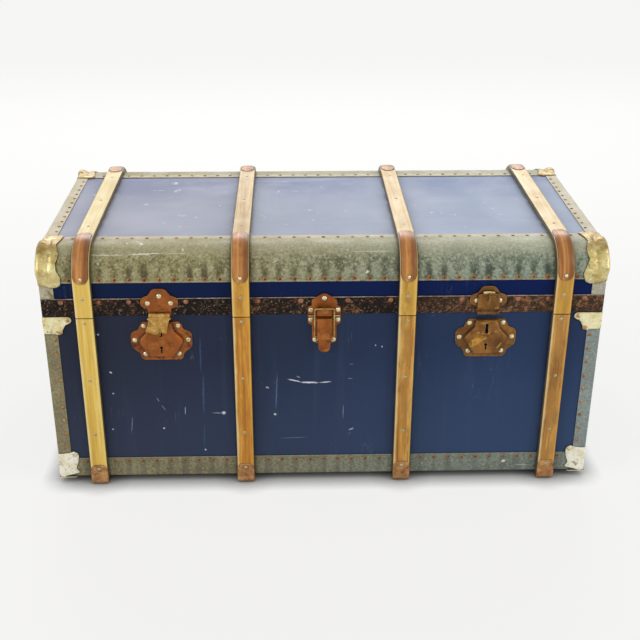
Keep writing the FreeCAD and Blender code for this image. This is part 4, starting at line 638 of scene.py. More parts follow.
cap_brown = pressed_cap("cap_brown", "CC8C48", "B07236", "8E5626")
shoe_brown = metal("shoe_brown", "CC9E68 AC7A48 845832 3A2618", (0.42, 0.62), 70, 0.10, 0.4, 0.0004)
brass_corner = metal(
    "brass_corner", "E2D8A2 C6B274 968448 4A4024", (0.26, 0.46), 46, 0.45, 0.45, 0.0010, extra=tarnish_and_bead_highlight
)
brass_pale = metal("brass_pale", "F8F1CC EADFAA CCBA74 4C4024", (0.36, 0.56), 55, 0.25, 0.85, 0.0008)
brass_foot = metal("brass_foot", "FFFBEC F8F3DC E8DEB8 4A4230", (0.40, 0.60), 55, 0.06, 0.90, 0.0008)
copper = metal(
    "copper", "B06420 935018 743A10 261006", (0.38, 0.54), 24, 0.20, dents=0.0002, spots=COPPER_SPOTS,
    patch="BA7630", rim=2.0, reach=4.6, rubbed_and_highlit="B87A42",
)
bronze = metal(
    "bronze", "A06C2C 7C5220 5A3814 1C1008", (0.36, 0.54), 30, 0.30, 0.2, 0.0003, GILT_SPOTS,
    "C8983A", rim=2.0, reach=4.6, rubbed_and_highlit="B8946A",
)
strap_rough = metal(
    "strap_rough", "D9B86A BD9248 9A6E30 6E4A22", (0.45, 0.65), 110, 0.20, 0.35, 0.0010, soil_and_shade=0.4
)
wire = metal("wire", "D2B67A AE8A4E 7C5C30 3A2614", (0.30, 0.45), 80, 0.55)
lip_brass_highlight = metal("lip_brass_highlight", "F4E2AC E2C684 B8924E 6A4A24", (0.30, 0.45), 80, 0.4)
rivet_pale = metal("rivet_pale", "F2EACC DDD2A6 B4A572 5C4C2C", (0.24, 0.40), 150, 0.40, extra=dull_on_slats)
nail_rust = metal("nail_rust", "D2A468 A4723E 6E4226 2A1610", (0.45, 0.65), 160, 0.1, extra=shaded_nail_cores)
rivet_copper = metal("rivet_copper", "C48C68 A26646 744430 2E1A12", (0.42, 0.6), 140, 0.2)
hinge_dark = metal("hinge_dark", "7A6450 4E3E32 2E241E 18120E", (0.38, 0.58), 60, 0.6)
pin_steel = metal("pin_steel", "B8B4AC 8E8A82 646058 38322A", (0.25, 0.42), 120, 0.95)
stay_brass = metal("stay_brass", "D8C080 B0904C 7E6230 46361C", (0.26, 0.44), 60, 0.85)
hide = leather("handle_leather")
linen = linen_thread("linen_thread")
paper = lining_paper("lining_paper")
softwood = bare_wood("softwood")

LOOKS = {
    paint_body: ("body_front_panel", "body_back_panel", "body_left_panel", "body_right_panel", "body_floor"),
    paint_lid: ("lid_shell", "lid_end_left", "lid_end_right"),
    fibre_lid: ("binding_lid_front", "binding_lid_back", "binding_lid_ends"),
    fibre_bottom: ("binding_bottom_front", "binding_bottom_back", "binding_bottom_ends"),
    fibre_upright: ("binding_corners",),
    slat_yellow: ("slat_front_1", "lid_slat_1"),
    slat_honey: ("slat_front_2", "lid_slat_2"),
    slat_plain: ("slats_back", "bottom_runners"),
    slat_deep: ("slat_front_3", "lid_slat_3"),
    slat_umber: ("slat_front_4", "lid_slat_4"),
    band_steel: ("lid_band",),
    cap_brown: ("slat_bend_caps",),
    shoe_brown: ("slat_foot_caps",),
    brass_corner: ("lid_corner_caps_front", "lid_corner_caps_back"),
    brass_pale: ("rim_corner_plates",),
    brass_foot: ("bottom_corner_caps",),
    copper: ("lock_left", "hasp_plate_left", "draw_bolt_base", "draw_bolt_catch", "draw_bolt_lever"),
    bronze: ("lock_right", "hasp_plate_right", "hasp_strap_right"),
    strap_rough: ("hasp_strap_left",),
    wire: ("draw_bolt_bail",),
    rivet_pale: ("body_rivets", "lid_rivets"),
    nail_rust: ("body_nails", "lid_nails"),
    rivet_copper: ("band_rivets",),
    hinge_dark: ("hinge_leaves_lower", "hinge_leaves_upper", "handle_loops"),
    pin_steel: ("hinge_pins", "lock_bolt_left", "lock_bolt_right"),
    stay_brass: ("quadrant_stays", "stay_keepers"),
    hide: ("handle_left", "handle_right"),
    paper: ("body_lining", "lid_lining"),
    softwood: ("rim_tongue",),
}
for material, members in LOOKS.items():
    for member in members:
        for holder in nodes[member].material_slots:
            holder.material = material


# ==== Mesh helpers

def crumple(point, scale, height):
    """A small outward push in millimetres, from smooth noise at a point in millimetres."""
    return height * noise.noise(Vector(point) * scale)


def smooth(value, low, high):
    share = min(1.0, max(0.0, (value - low) / (high - low)))
    return share * share * (3 - 2 * share)


def between(table, value):
    """Reads a table of (place, size) pairs at a value, in straight runs."""
    if value <= table[0][0]:
        return table[0][1]
    for (a, low), (b, high) in zip(table, table[1:]):
        if value <= b:
            return low + (high - low) * (value - a) / (b - a)
    return table[-1][1]


def turns(count):
    """The angles of a full turn in equal steps."""
    return [2 * math.pi * k / count for k in range(count)]


def ring(centre, side, other, radius, count):
    """Points of a circle, from side towards other."""
    return [centre + (side * math.cos(turn) + other * math.sin(turn)) * radius for turn in turns(count)]


def through(points, per, closed=False):
    """Points on a Catmull-Rom curve through the given points."""
    count = len(points)
    result = []
    for n in range(count if closed else count - 1):
        near = [(n + k) % count if closed else min(max(n + k, 0), count - 1) for k in (-1, 0, 1, 2)]
        a, b, c, d = (Vector(points[k]) for k in near)
        for k in range(per):
            t = k / per
            second, third = 2 * a - 5 * b + 4 * c - d, 3 * b - a - 3 * c + d
            result.append(0.5 * ((2 * b) + (c - a) * t + second * t ** 2 + third * t ** 3))
    if not closed:
        result.append(Vector(points[-1]))
    return result


def lid_bend(x, s, out, radius=BEND, way=-1):
    """A point over the lid's bend: s runs up from its foot, out is outwards. way is -1 at the front."""
    turn = radius * math.pi / 2
    if s < 0:
        y, z = BEND_Y + radius + out, BEND_Z + s
    elif s < turn:
        angle = s / radius
        y, z = BEND_Y + (radius + out) * math.cos(angle), BEND_Z + (radius + out) * math.sin(angle)
    else:
        y, z = BEND_Y - (s - turn), BEND_Z + radius + out
    return Vector((x, way * y, z))


def shown(name, data):
    """Puts a mesh, a light or a camera in the scene; a mesh is shaded smooth."""
    if isinstance(data, bpy.types.Mesh):
        for polygon in data.polygons:
            polygon.use_smooth = True
    item = bpy.data.objects.new(name, data)
    bpy.context.scene.collection.objects.link(item)
    return item


def build(name, rows, closed_rows=False):
    """A mesh object from rows of points in millimetres."""
    mesh = bpy.data.meshes.new(name)
    wide = len(rows[0])
    points = [Vector(point) * MM for row in rows for point in row]
    faces = []
    for j in range(len(rows) - 1):
        for i in range(wide if closed_rows else wide - 1):
            k = (i + 1) % wide
            faces.append((j * wide + i, j * wide + k, (j + 1) * wide + k, (j + 1) * wide + i))
    mesh.from_pydata(points, [], faces)
    mesh.update()
    return shown(name, mesh)


def thicken(item, thick):
    """Gives a surface a thickness inwards, with closed edges."""
    solid = item.modifiers.new("thick", "SOLIDIFY")
    solid.thickness = thick * MM
    solid.offset = -1.0
    solid.use_even_offset = False
    solid.use_rim = True
    return item


def join(name, items):
    """One object from several, their modifiers applied."""
    whole = bmesh.new()
    graph = bpy.context.evaluated_depsgraph_get()
    graph.update()
    for item in items:
        shape = item.evaluated_get(graph).to_mesh()
        whole.from_mesh(shape)
        item.evaluated_get(graph).to_mesh_clear()
    mesh = bpy.data.meshes.new(name)
    whole.to_mesh(mesh)
    whole.free()
    for item in items:
        bpy.data.objects.remove(item)
    return shown(name, mesh)


def dress(item, material, body, slot, *replaced):
    item.data.materials.clear()
    item.data.materials.append(material)
    if replaced:
        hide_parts(*replaced)
    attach(item, body)
    return item


def head(name, centre, outwards, radius, height):
    """A domed rivet head on a surface."""
    outwards = Vector(outwards).normalized()
    side = outwards.orthogonal().normalized()
    other = outwards.cross(side)
    rows = []
    for tilt in (90, 78, 62, 45, 28, 12, 0.5):
        tilt = math.radians(tilt)
        middle = Vector(centre) + outwards * (height * math.cos(tilt))
        rows.append(ring(middle, side, other, radius * math.sin(tilt), 20))
    return build(name, rows, closed_rows=True)


PLATE_RINGS = (0.02, 0.2, 0.4, 0.6, 0.78, 0.9, 0.97)


def plate(name, corners, centre, place, thick, dent, rings=PLATE_RINGS, back=False):
    """A pressed sheet with a rounded edge. Its outline is a smooth curve through the corners."""
    edge = through([(a, b, 0) for a, b in corners], 6, closed=True)

    def outline(share):
        return [[middle + (p[n] - middle) * share for n, middle in enumerate(centre)] for p in edge]

    def height(a, b):
        return thick + crumple((a, b, thick * 31), 0.11, dent) + crumple((a, b, 7), 0.35, 0.4 * dent)

    rows = [[place(a, b, height(a, b)) for a, b in outline(share)] for share in rings]
    rows.append([place(p.x, p.y, 0.6 * thick) for p in edge])
    for share in (1.0, 0.5, 0.02) if back else (1.0,):
        rows.append([place(a, b, 0.0) for a, b in outline(share)])
    return build(name, rows, closed_rows=True)


def mirrored(point, x=1, y=1):
    return Vector((x * point[0], y * point[1], point[2]))


def facing(item):
    """Turns every face outwards."""
    shape = bmesh.new()
    shape.from_mesh(item.data)
    bmesh.ops.recalc_face_normals(shape, faces=shape.faces)
    shape.to_mesh(item.data)
    shape.free()
    return item


def facing_out(item, way):
    """Turns an open sheet's faces to the front with way -1, to the back with 1."""
    if sum(polygon.normal.y * way * polygon.area for polygon in item.data.polygons) < 0:
        item.data.flip_normals()
    return item


# ==== Lid corner pieces: a pressed sheet with a wavy edge and a fat bead round the corner

INNER_LEFT = (
    (-12, 425), (-5, 422), (4, 422), (11, 425), (18, 428), (30, 429), (37, 427), (45, 425), (53, 428),
    (66, 431), (84, 428), (100, 426), (108, 427),
)
INNER_RIGHT = (
    (-12, 424), (-7, 422), (2, 419), (15, 423), (30, 428.5), (40, 426), (48, 425), (66, 431), (91, 427.5),
    (103, 424), (108, 425),
)
FOOT_WAVE = ((420, 5.0), (429, 10.5), (439, 10.4), (456, 5.8))
CROWN_WAVE = ((424, 4), (430, 0), (446, 1), (456, 3))
LEAF = ((-12, 24), (0, 30), (16, 33), (30, 28), (46, 33), (60, 28), (76, 33), (92, 30), (108, 24))


def corner_cap(name, side, way, inner):
    """side is -1 at the left, way -1 at the front."""
    rows = []
    steps = 72
    for j in range(steps + 1):
        v = j / steps
        middle = -10 + 117 * v
        fat = smooth(middle, -4, 14) * smooth(middle, 98, 70)
        reach, radius = 1.6 + 3.6 * fat, 3.0 + 4.6 * fat
        cx, cy = FACE_X + reach - radius, reach - radius
        x_in = between(inner, middle)
        leaf = between(LEAF, middle)
        start = cx - 1.35 * radius
        dip = 1.9 - 1.3 * fat
        section = [(x_in, 0.2, 0), (x_in + 0.6, 2.0, 0), ((x_in + start) / 2, 2.1, 0), (start - 1.5, dip, 0)]
        for angle in (118, 88, 58, 28, -4, -30):
            turn = math.radians(angle)
            section.append((cx + radius * math.cos(turn), cy + radius * math.sin(turn), 0))
        section += [
            (FACE_X + 1.7, cy - 1.45 * radius, 0),
            (FACE_X + 1.6, -(leaf + 1.45 * radius - cy) / 2, 0),
            (FACE_X + 1.5, 0.6 - leaf, 0),
            (FACE_X + 0.2, -leaf, 0),
        ]
        row = []
        for p in through(section, 5):
            foot = -between(FOOT_WAVE, p.x) + (1.5 if p.y < -4 else 0)
            crown = 107 - between(CROWN_WAVE, p.x)
            s = foot + (crown - foot) * v
            edge = min(smooth(v, 0, 0.02), smooth(v, 1, 0.98))
            lift = crumple((p.x, s, side * 40), 0.075, 0.8) + crumple((p.x, s, way * 70), 0.22, 0.30)
            out = p.y * (1.0 if p.y < 0 else 0.25 + 0.75 * edge) + (lift * edge if p.y > 0.9 else 0.0)
            x = p.x + (lift * 0.7 * edge if p.y < -3 and p.x > FACE_X + 1 else 0.0)
            row.append(mirrored(lid_bend(x, s, out, way=-1), x=side, y=-way))
        rows.append(row)
    return thicken(facing(build(name, rows)), 1.0)


for way, word in ((-1, "front"), (1, "back")):
    pieces = [corner_cap("cap", -1, way, INNER_LEFT), corner_cap("cap", 1, way, INNER_RIGHT)]
    for side in (-1, 1):
        foot = lid_bend(430.0, 44.8, 1.6)
        out = lid_bend(430.0, 44.8, 3.0) - foot
        pieces.append(head("cap_rivet", mirrored(foot, side, -way), mirrored(out, side, -way), 3.6, 2.0))
    whole = join(f"corner_piece_{word}", pieces)
    dress(whole, brass_corner, "lid", "corner_brass", f"lid_corner_caps_{word}")


# ==== Pale corner plates on the body: at the rim and at the foot, bent round the corner

def round_corner(side, way, z0):
    """Places (a, b, out): a runs round the corner, below zero on the front, b is up from z0."""
    bend = EDGE_ROUND
    arc = bend * math.pi / 4

    def place(a, b, out):
        if a < -arc:
            x, y = FACE_X - bend + (a + arc), FACE_Y + out
        elif a > arc:
            x, y = FACE_X + out, FACE_Y - bend - (a - arc)
        else:
            angle = math.pi / 4 - a / bend
            x = FACE_X - bend + (bend + out) * math.cos(angle)
            y = FACE_Y - bend + (bend + out) * math.sin(angle)
        return Vector((side * x, way * y, z0 + b))
    return place


RIM_SHAPE = [
    (0, -0.3), (-20, 0.0), (-38, 0.2), (-44, -1.5), (-46, -6), (-43, -10.5), (-36, -14), (-32, -20),
    (-28.5, -27), (-24, -31.5), (-15, -30), (-6, -30), (0, -29.4),
]
FOOT_SHAPE = [
    (0, 46), (-10, 46.5), (-20, 48), (-26, 50), (-31, 47.5), (-33.7, 43), (-33, 34), (-32.2, 29),
    (-28.3, 17), (-32.6, 9), (-26, 6), (-17, 3.6), (-4, -1), (0, -1.4),
]


def whole_shape(half):
    """A closed outline from one half, which starts and ends on the middle line."""
    return half + [(-a, b) for a, b in reversed(half[1:-1])]


rims, feet = [], []
for side in (-1, 1):
    for way in (-1, 1):
        at_rim = round_corner(side, way, SEAM - 1.0)
        at_foot = round_corner(side, way, BOTTOM)
        rims.append(facing(plate("rim", whole_shape(RIM_SHAPE), (0, -15), at_rim, 1.6, 0.7)))
        feet.append(facing(plate("foot", whole_shape(FOOT_SHAPE), (0, 24), at_foot, 1.6, 0.9)))

        def under(a, b, out, side=side, way=way):
            return Vector((side * (FACE_X - a), way * (FACE_Y - b), BOTTOM - out))

        leaf = [(-1.2, -1.2), (14, -1.4), (27, -1.2), (26, 10), (18, 18), (10, 26), (-1.2, 27), (-1.4, 14)]
        feet.append(facing(plate("foot_under", leaf, (9, 9), under, 1.4, 0.3)))
dress(join("rim_plates", rims), brass_pale, "body", "corner_pale", "rim_corner_plates")
dress(join("foot_corners", feet), brass_foot, "body", "corner_pale", "bottom_corner_caps")


# ==== Pressed caps over the bends of the slats, and the shoes at their feet

SLAT_BEND = BEND + SLAT_THICK


def tongue(run, reach, narrow, wide):
    """Half the width of a piece with a rounded end, at a run from that end."""
    if run >= reach:
        return wide
    return narrow + (wide - narrow) * math.sqrt(max(0.0, 1 - ((reach - run) / reach) ** 2))


def bend_cap(name, middle, way):
    first, length = -1.0, SLAT_BEND * math.pi / 2 + 21
    rows = []
    steps = 72
    for j in range(steps + 1):
        s = first + (length - first) * (0.5 - 0.5 * math.cos(math.pi * j / steps))
        low, high = s - first, length - s
        half = min(tongue(low, 14, 1.5, 13.0), tongue(high, 14, 2.0, 13.0))
        ridge = smooth(low, 14, 30) * smooth(high, 2, 16)
        ends = [min(1.0, 0.25 + smooth(run, 0, 1.5)) for run in (low, high)]
        row = []
        for i in range(25):
            u = -1 + i / 12
            crown = 1.1 + 1.2 * ridge
            drop = math.sqrt(max(0.0, 1 - abs(u) ** (7 - 4.6 * ridge)))
            out = 0.1 + crown * drop * ends[0] * ends[1]
            x = middle + u * half
            out += crumple((x, s, way * 30), 0.09, 0.14) * drop
            row.append(lid_bend(x, s, min(out, 2.35), SLAT_BEND, way))
        rows.append(row)
    return thicken(facing(build(name, rows)), 0.8)


caps = [bend_cap("bend_cap", middle, way) for way in (-1, 1) for middle in SLATS]
dress(join("bend_caps", caps), cap_brown, "lid", "cap_brown", "slat_bend_caps")


def shoe(name, middle, way):
    """Sheet from a rounded tongue on the slat's front, round its foot and along the runner."""
    front, top, bend = FACE_Y + SLAT_THICK, 40.0, 9.2
    upright = top - bend
    turn = bend * math.pi / 2
    under = 30.0
    rows = []
    steps = 64
    for j in range(steps + 1):
        d = (upright + turn + under) * j / steps
        half = min(tongue(d, 12, 5.0, 14.6), tongue(upright + turn + under - d, 6, 9.0, 14.6))
        row = []
        for i in range(17):
            u = -1 + i / 8
            x = middle + u * half
            lip = 1.15 * math.sqrt(max(0.0, 1 - abs(u) ** 8)) * min(1.0, 0.2 + smooth(d, 0, 1.5))
            out = max(0.15, min(1.18, lip + crumple((x, d, way * 20), 0.12, 0.22)))
            if d < upright:
                row.append((x, way * (front + out), top - d))
            elif d < upright + turn:
                angle = (d - upright) / bend
                radius = bend - 1.2 + out
                row.append((
                    x, way * (front + 1.2 - bend + radius * math.cos(angle)), bend - radius * math.sin(angle)
                ))
            else:
                row.append((x, way * (front + 1.2 - bend - (d - upright - turn)), 1.2 - out))
        rows.append(row)
    return thicken(facing_out(build(name, rows), way), 0.9)


shoes = [shoe("shoe", middle, way) for way in (-1, 1) for middle in SLATS]
dress(join("shoes", shoes), shoe_brown, "body", "cap_brown", "slat_foot_caps")


# ==== Fibre over the lid's bends and along the bottom, puckered between its nails

def clear_of_fittings(x):
    """1 in the open, 0 under a slat or a corner piece."""
    open_air = smooth(abs(x), 424, 412)
    for middle in SLATS:
        open_air = min(open_air, smooth(abs(x - middle), SLAT_HALF + 1.0, SLAT_HALF + 8.0))
    return open_air


def pucker(x, seed):
    """Folds between the nails, each with its own height."""
    wave = 0.5 - 0.5 * math.cos(2 * math.pi * (x + NAIL_ROW) / NAIL_STEP)
    cell = math.floor((x + NAIL_ROW) / NAIL_STEP)
    return wave * (0.45 + 0.9 * abs(noise.noise(Vector((cell * 3.7, seed, 0.5)))))


def hump(value, middle, spread):
    return math.exp(-(((value - middle) / spread) ** 2))


COLUMNS = [-FACE_X + 2 * FACE_X * i / 760 for i in range(761)]  # places in x along the whole front


PROUD = 0.05  # the fibre's height over the surface under it


def over_bend(name, way):
    """Fibre from the lid's side over its bend to the flat top."""
    last = 103.4
    rows = []
    for j in range(46):
        s = -3 + (last + 3) * j / 45
        row = []
        for x in COLUMNS:
            fold = 1.5 * pucker(x, way) * hump(s, 11, 17)
            fold += 0.45 * pucker(x, way + 9) * hump(s, last - 12, 14)
            fold += crumple((x, s, way * 50), 0.05, 0.45) + crumple((x, s, way * 90), 0.16, 0.22)
            out = max(0.0, fold) * clear_of_fittings(x) * smooth(s, -3.2, 1) * smooth(s, last, last - 4)
            row.append(lid_bend(x, s, PROUD + out, way=way))
        rows.append(row)
    return thicken(facing(build(name, rows)), 1.2)


def along_bottom(name, way):
    """Fibre up the side, round the bottom edge and under the box."""
    top, upright, under, bend = 49.0, 34.0, 27.0, EDGE_ROUND
    track = [(0.0, top - upright * k / 20) for k in range(21)]
    for angle in (math.pi / 8 * k for k in range(1, 5)):
        track.append((-bend + bend * math.cos(angle), BOTTOM + bend - bend * math.sin(angle)))
    track += [(-bend - under * k / 8, BOTTOM) for k in range(1, 9)]
    rows = []
    for inward, z in track:
        row = []
        for x in COLUMNS:
            fold = 0.9 * pucker(x, way + 4) * hump(z, 30, 10) + crumple((x, z, way * 21), 0.06, 0.35)
            out = max(0.0, fold) * clear_of_fittings(x) * smooth(z, 16, 22) * smooth(z, 49.2, 46)
            row.append((x, way * (FACE_Y + inward + (PROUD + out)), z))
        rows.append(row)
    return thicken(facing_out(build(name, rows), way), 1.1)


for way, word in ((-1, "front"), (1, "back")):
    dress(over_bend(f"fibre_lid_{word}", way), fibre_lid, "lid", "fibre", f"binding_lid_{word}")
for way, word in ((-1, "front"), (1, "back")):
    edge = along_bottom(f"fibre_bottom_{word}", way)
    dress(edge, fibre_bottom, "body", "fibre", f"binding_bottom_{word}")


# ==== Rolled edge along the top of the steel band

def loop_bead(name, z, out, radius):
    """A round bead along the lid, just proud of its faces."""
    corner = EDGE_ROUND
    x, y = FACE_X + out, FACE_Y + out
    path = []
    for cx, cy, first in ((x, -y, -90), (x, y, 0), (-x, y, 90), (-x, -y, 180)):
        ox, oy = cx - math.copysign(corner, cx), cy - math.copysign(corner, cy)
        for k in range(5):
            turn = math.radians(first + 22.5 * k)
            path.append((ox + corner * math.cos(turn), oy + corner * math.sin(turn), turn))
    rows = []
    for (ax, ay, turn), (bx, by, _) in zip(path, path[1:] + path[:1]):
        runs = max(1, int(math.hypot(bx - ax, by - ay) / 12))
        for k in range(runs):
            px, py = ax + (bx - ax) * k / runs, ay + (by - ay) * k / runs
            middle = z + crumple((px, py, z), 0.08, 0.25) * 0.5
            row = []
            for angle in turns(8):
                lift, up = radius * math.cos(angle), radius * math.sin(angle)
                row.append((px + math.cos(turn) * lift, py + math.sin(turn) * lift, middle + up))
            rows.append(row)
    return facing(build(name, rows + rows[:1], closed_rows=True))


dress(loop_bead("band_bead_top", 349.4, 0.1, 0.8), band_edge, "lid", "steel_band")


# ==== The left hasp's torn strap, and small bright edges on the fittings, their pale brass a painted highlight

def tube(name, points, radius, sides=10):
    """A closed rod along points."""
    points = [Vector(p) for p in points]
    rows = [[points[0]] * sides]
    for before, p, after in zip(points[:1] + points, points, points[1:] + points[-1:]):
        ahead = (after - before).normalized()
        side = ahead.orthogonal().normalized()
        rows.append(ring(p, side, ahead.cross(side), radius, sides))
    return facing(build(name, rows + [[points[-1]] * sides], closed_rows=True))


STRAP_TILT = math.radians(14)
STRAP_EDGE = (
    (-17.4, 3.4), (-17.8, 9), (-19.0, 14), (-21.4, 20), (-22.9, 24.5), (-22.4, 27.0), (-19.0, 27.6),
    (-16.2, 27.5), (-13.4, 29.6), (-9.0, 30.6), (-4.0, 30.7), (-1.6, 29.4), (-0.6, 27.8), (1.6, 27.6),
    (3.0, 28.2), (6.2, 28.6), (9.6, 29.2), (11.0, 27.6), (11.8, 23), (13.2, 16), (15.2, 8), (16.8, 3.4),
)


def on_strap(a, down, out):
    """A place on the strap, which hangs tilted outwards from its hinge."""
    back = math.cos(STRAP_TILT) * (out + 1.2) + math.sin(STRAP_TILT) * down
    z = HINGE_Z - math.cos(STRAP_TILT) * down + math.sin(STRAP_TILT) * (out + 1.2)
    return Vector((a - LOCK_X, -(HINGE_Y + back), z))


def ribbed(a, down, out):
    """The strap's worn face: shallow ribs across it."""
    rib = 0.32 * math.sin(down * 1.35 + 0.4 * math.sin(a * 0.3)) if out > 0.9 else 0.0
    return on_strap(a, down, out + rib)


def on_pin(*places):
    return [(a - LOCK_X, -HINGE_Y, HINGE_Z) for a in places]


neck = ((-12.6, 0.4), (12.2, 0.4), (12.0, 5.0), (-12.8, 5.0))
staple = [(28.4, 0.3), (31.6, 0.0)]
for turn in (math.pi * k / 12 for k in range(1, 13)):
    staple.append((27.5 + 5.4 * math.cos(turn), -5.4 * math.sin(turn)))
strap_rings = (0.02, 0.15, 0.3, 0.45, 0.6, 0.72, 0.84, 0.93, 0.98)
strap = [
    plate("strap", STRAP_EDGE, (-2.5, 16), ribbed, 1.4, 0.35, strap_rings, back=True),
    tube("strap_knuckle", on_pin(-7.4, -2.5, 2.5, 7.4), 2.9, 20),
    tube("strap_roll", on_pin(-17.3, -16.7, -6, 6, 16.1, 16.7), 3.5, 24),
    plate("strap_neck", neck, (0, 2.7), on_strap, 1.2, 0.0, back=True),
    tube("strap_staple", [on_strap(0, down, out) for down, out in staple], 0.85, 12),
]
strap = join("torn_strap", [facing(item) for item in strap])
dress(strap, strap_rough, "hasp_left", "strap_brass", "hasp_strap_left")


LIP_Y, LIP_Z = 234.5, 355.4
TAB_Y, TAB_Z = 234.3, 317.2
GRIP_X = 467.8


def strap_lip(a, b, out):
    return Vector((LOCK_X + a, -LIP_Y - out, LIP_Z + b))


lip = ((-7.8, -1.8), (7.8, -1.8), (7.8, 2.9), (-7.8, 2.9))
# The lip's pale brass is a painted highlight along the curled top of the folded strap
lip = plate("lip", lip, (0, 0), strap_lip, 2.7, 0.2, back=True)
dress(join("strap_lip", [facing(lip)]), lip_brass_highlight, "hasp_right", "bronze_plate")
tabs = [tube("tab", [(side * a, -TAB_Y, TAB_Z) for a in (14.5, 18, 22, 25.5)], 0.85) for side in (-1, 1)]
dress(join("draw_tabs", tabs), lip_brass_highlight, "body", "copper_plate")


# ==== Handles: rolled leather with a sewn seam

def stitch(centre, along, out, half, radius):
    side = along.cross(out).normalized()
    rows = []
    for share, girth in ((-1, 0.2), (-0.8, 0.8), (-0.3, 1.0), (0.3, 1.0), (0.8, 0.8), (1, 0.2)):
        rows.append(ring(centre + along * (half * share), side, out, radius * girth, 6))
    return build("stitch", rows, closed_rows=True)


def eye(x, y, z):
    """The leather turned round the pin: a thick ring along Y."""
    ends = ((-6.9, 3.3), (-6.9, 6.2), (-5.6, 6.95), (5.6, 6.95), (6.9, 6.2), (6.9, 3.3), (-6.9, 3.3))
    across, up = Vector((1, 0, 0)), Vector((0, 0, 1))
    rows = [ring(Vector((x, y + along, z)), across, up, radius, 32) for along, radius in ends]
    return facing(build("eye", rows, closed_rows=True))


def handle(name, side):
    """The grip with its eyes, and its stitches."""
    half, low, high, bend = 92.0, 163.0, 215.0, 26.0
    x = side * GRIP_X
    sideways = Vector((1, 0, 0))

    def corner(y, first):
        angles = (math.radians(first + 90 * k / 8) for k in range(1, 8))
        return [(y + bend * math.cos(turn), low + bend + bend * math.sin(turn)) for turn in angles]

    line = [(-half, high), (-half, high - 12), (-half, low + bend)] + corner(-half + bend, 180)
    line += [(-half + bend + (2 * half - 2 * bend) * k / 12, low) for k in range(13)]
    line += corner(half - bend, 270) + [(half, low + bend), (half, high - 12), (half, high)]
    points = through([(x, y, z) for y, z in line], 4)
    last, bare_end = len(points) - 1, 14
    rows, stitches = [], []
    for n, p in enumerate(points):
        ahead = (points[min(n + 1, last)] - points[max(n - 1, 0)]).normalized()
        other = ahead.cross(sideways).normalized()
        share = n / last
        plump = 5.6 + 0.9 * smooth(share, 0.2, 0.42) * smooth(share, 0.8, 0.58)
        row = []
        for k, angle in enumerate(turns(24)):
            seam = 0.8 * math.exp(-(((angle - 1.5 * math.pi) / 0.22) ** 2))
            radius = plump * (1 + 0.03 * math.sin(5 * share * math.pi)) + seam
            radius = min(radius + crumple((p.y, p.z, k), 0.12, 0.15), 6.9)
            row.append(p + sideways * (radius * math.cos(angle)) + other * (radius * math.sin(angle)))
        rows.append(row)
        if bare_end <= n <= last - bare_end and n % 2 == 0:
            for lean in (-2.6, 2.6):
                stitches.append(stitch(p + sideways * lean - other * 5.5, ahead, other, 1.5, 0.5))
    eyes = [eye(x, way * half, high) for way in (-1, 1)]
    rope = facing(build(name, rows, closed_rows=True))
    return join(name, [rope] + eyes), join(f"{name}_stitches", stitches)


for side, word in ((-1, "left"), (1, "right")):
    part, thread = handle(f"grip_{word}", side)
    dress(part, hide, f"handle_{word}", "handle_leather", f"handle_{word}")
    dress(thread, linen, f"handle_{word}", "handle_leather")


# ==== Floor, light and camera

def seen_directly(tree):
    """1 for what the camera sees, also in a glossy surface."""
    return node(tree, "LightPath", out="Is Camera Ray") | node(tree, "LightPath", out="Is Glossy Ray")


def white_floor():
    """A floor that is lit a little and glows to the camera, more far away; close under things the glow is
    dimmed, a painted contact shadow.
    """
    lit, seen_lit, glow_colour = (0.86, 0.855, 0.85, 1), (0.16, 0.16, 0.16, 1), (1.0, 0.995, 0.985, 1)
    glow_near, glow_far, from_radius, to_radius = 0.77, 0.85, 0.7, 3.2
    contact_reach, contact_power, wide = 0.04, 2.0, 14.0
    material = bpy.data.materials.new("floor_white")
    material.use_nodes = True
    tree = material.node_tree
    tree.nodes.clear()
    seen = seen_directly(tree)
    # Painted contact shadow: the glow is dimmed where the trunk stands close
    near = node(tree, "AmbientOcclusion", {"Distance": contact_reach}, "AO", samples=12)
    far = node(tree, "VectorMath", {0: node(tree, "TexCoord", out="Object")}, "Value", operation="LENGTH")
    fade = node(tree, "MapRange", enumerate((far, from_radius, to_radius, glow_near, glow_far)))
    shade = node(tree, "Mix", {0: seen, 6: lit, 7: seen_lit}, 2, data_type="RGBA")
    glow = node(tree, "Emission", {0: glow_colour, 1: seen * near.math("POWER", contact_power) * fade})
    both = node(tree, "AddShader", {0: node(tree, "BsdfDiffuse", {0: shade}), 1: glow})
    node(tree, "OutputMaterial", {0: both}, None)
    mesh = bpy.data.meshes.new("floor")
    corners = [(x * wide, y * wide, 0) for x, y in ((-1, -1), (1, -1), (1, 1), (-1, 1))]
    mesh.from_pydata(corners, [], [(0, 1, 2, 3)])
    mesh.materials.append(material)
    floor = bpy.data.objects.new("floor", mesh)
    bpy.context.scene.collection.objects.link(floor)


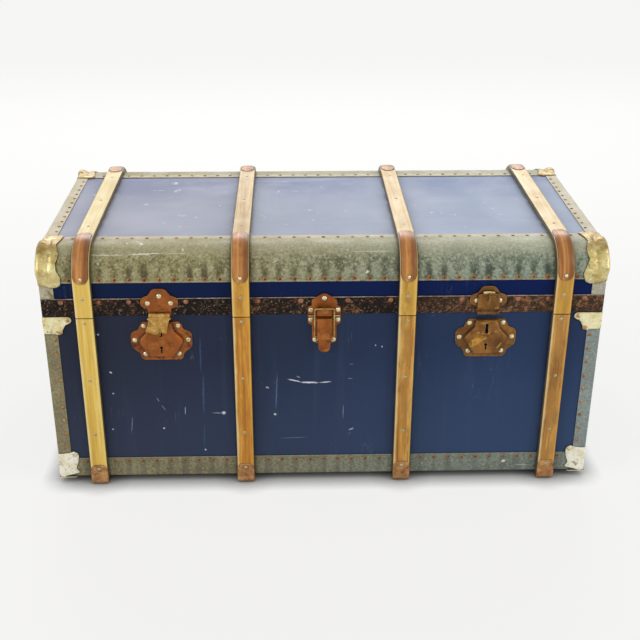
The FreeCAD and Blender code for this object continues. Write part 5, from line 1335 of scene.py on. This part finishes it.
def studio_world():
    """An even white light that shows as a pale backdrop."""
    world = bpy.data.worlds.new("studio")
    bpy.context.scene.world = world
    world.use_nodes = True
    tree = world.node_tree
    tree.nodes.clear()
    light = node(tree, "Background", {0: (1, 1, 1, 1), 1: 0.42})
    backdrop = node(tree, "Background", {0: (0.925, 0.92, 0.912, 1), 1: 1.0})
    both = node(tree, "MixShader", {0: seen_directly(tree), 1: light, 2: backdrop})
    node(tree, "OutputWorld", {0: both}, None)


def softbox(name, place, aim, wide, tall, power):
    """A rectangular lamp at a place, turned to an aim. Sizes in metres, power in watts."""
    light = bpy.data.lights.new(name, "AREA")
    light.shape = "RECTANGLE"
    light.size, light.size_y, light.energy = wide, tall, power
    item = shown(name, light)
    item.location = place
    item.rotation_euler = (Vector(aim) - Vector(place)).to_track_quat("-Z", "Y").to_euler()


white_floor()
studio_world()
softbox("left_box", (-2.3, -1.3, 1.5), (0, 0, 0.25), 1.6, 1.6, 30)
softbox("right_box", (2.3, -1.3, 1.5), (0, 0, 0.25), 1.6, 1.6, 30)
softbox("back_box", (0.0, 2.3, 1.7), (0, 0, 0.40), 3.0, 1.3, 45)

# The camera: its angles, and its focal length and the picture's width in pixels
yaw, pitch, roll = math.radians(1.721), math.radians(25.366), math.radians(0.192)
focal_length, picture_width, sensor_width = 1075.405, 640, 36.0
eye_point = Vector((-0.05472, -1.81959, 1.06153))
forward = Vector((math.sin(yaw) * math.cos(pitch), math.cos(yaw) * math.cos(pitch), -math.sin(pitch)))
level = Vector((math.cos(yaw), -math.sin(yaw), 0))
rise = level.cross(forward)
right = math.cos(roll) * level + math.sin(roll) * rise
above = -math.sin(roll) * level + math.cos(roll) * rise
lens = bpy.data.cameras.new("camera")
lens.sensor_width = sensor_width
lens.lens = sensor_width * focal_length / picture_width
camera = shown("camera", lens)
camera.matrix_world = Matrix((*zip(right, above, -forward, eye_point), (0, 0, 0, 1)))
bpy.context.scene.camera = camera
bpy.context.scene.view_settings.view_transform = "Standard"

bpy.context.view_layer.update()
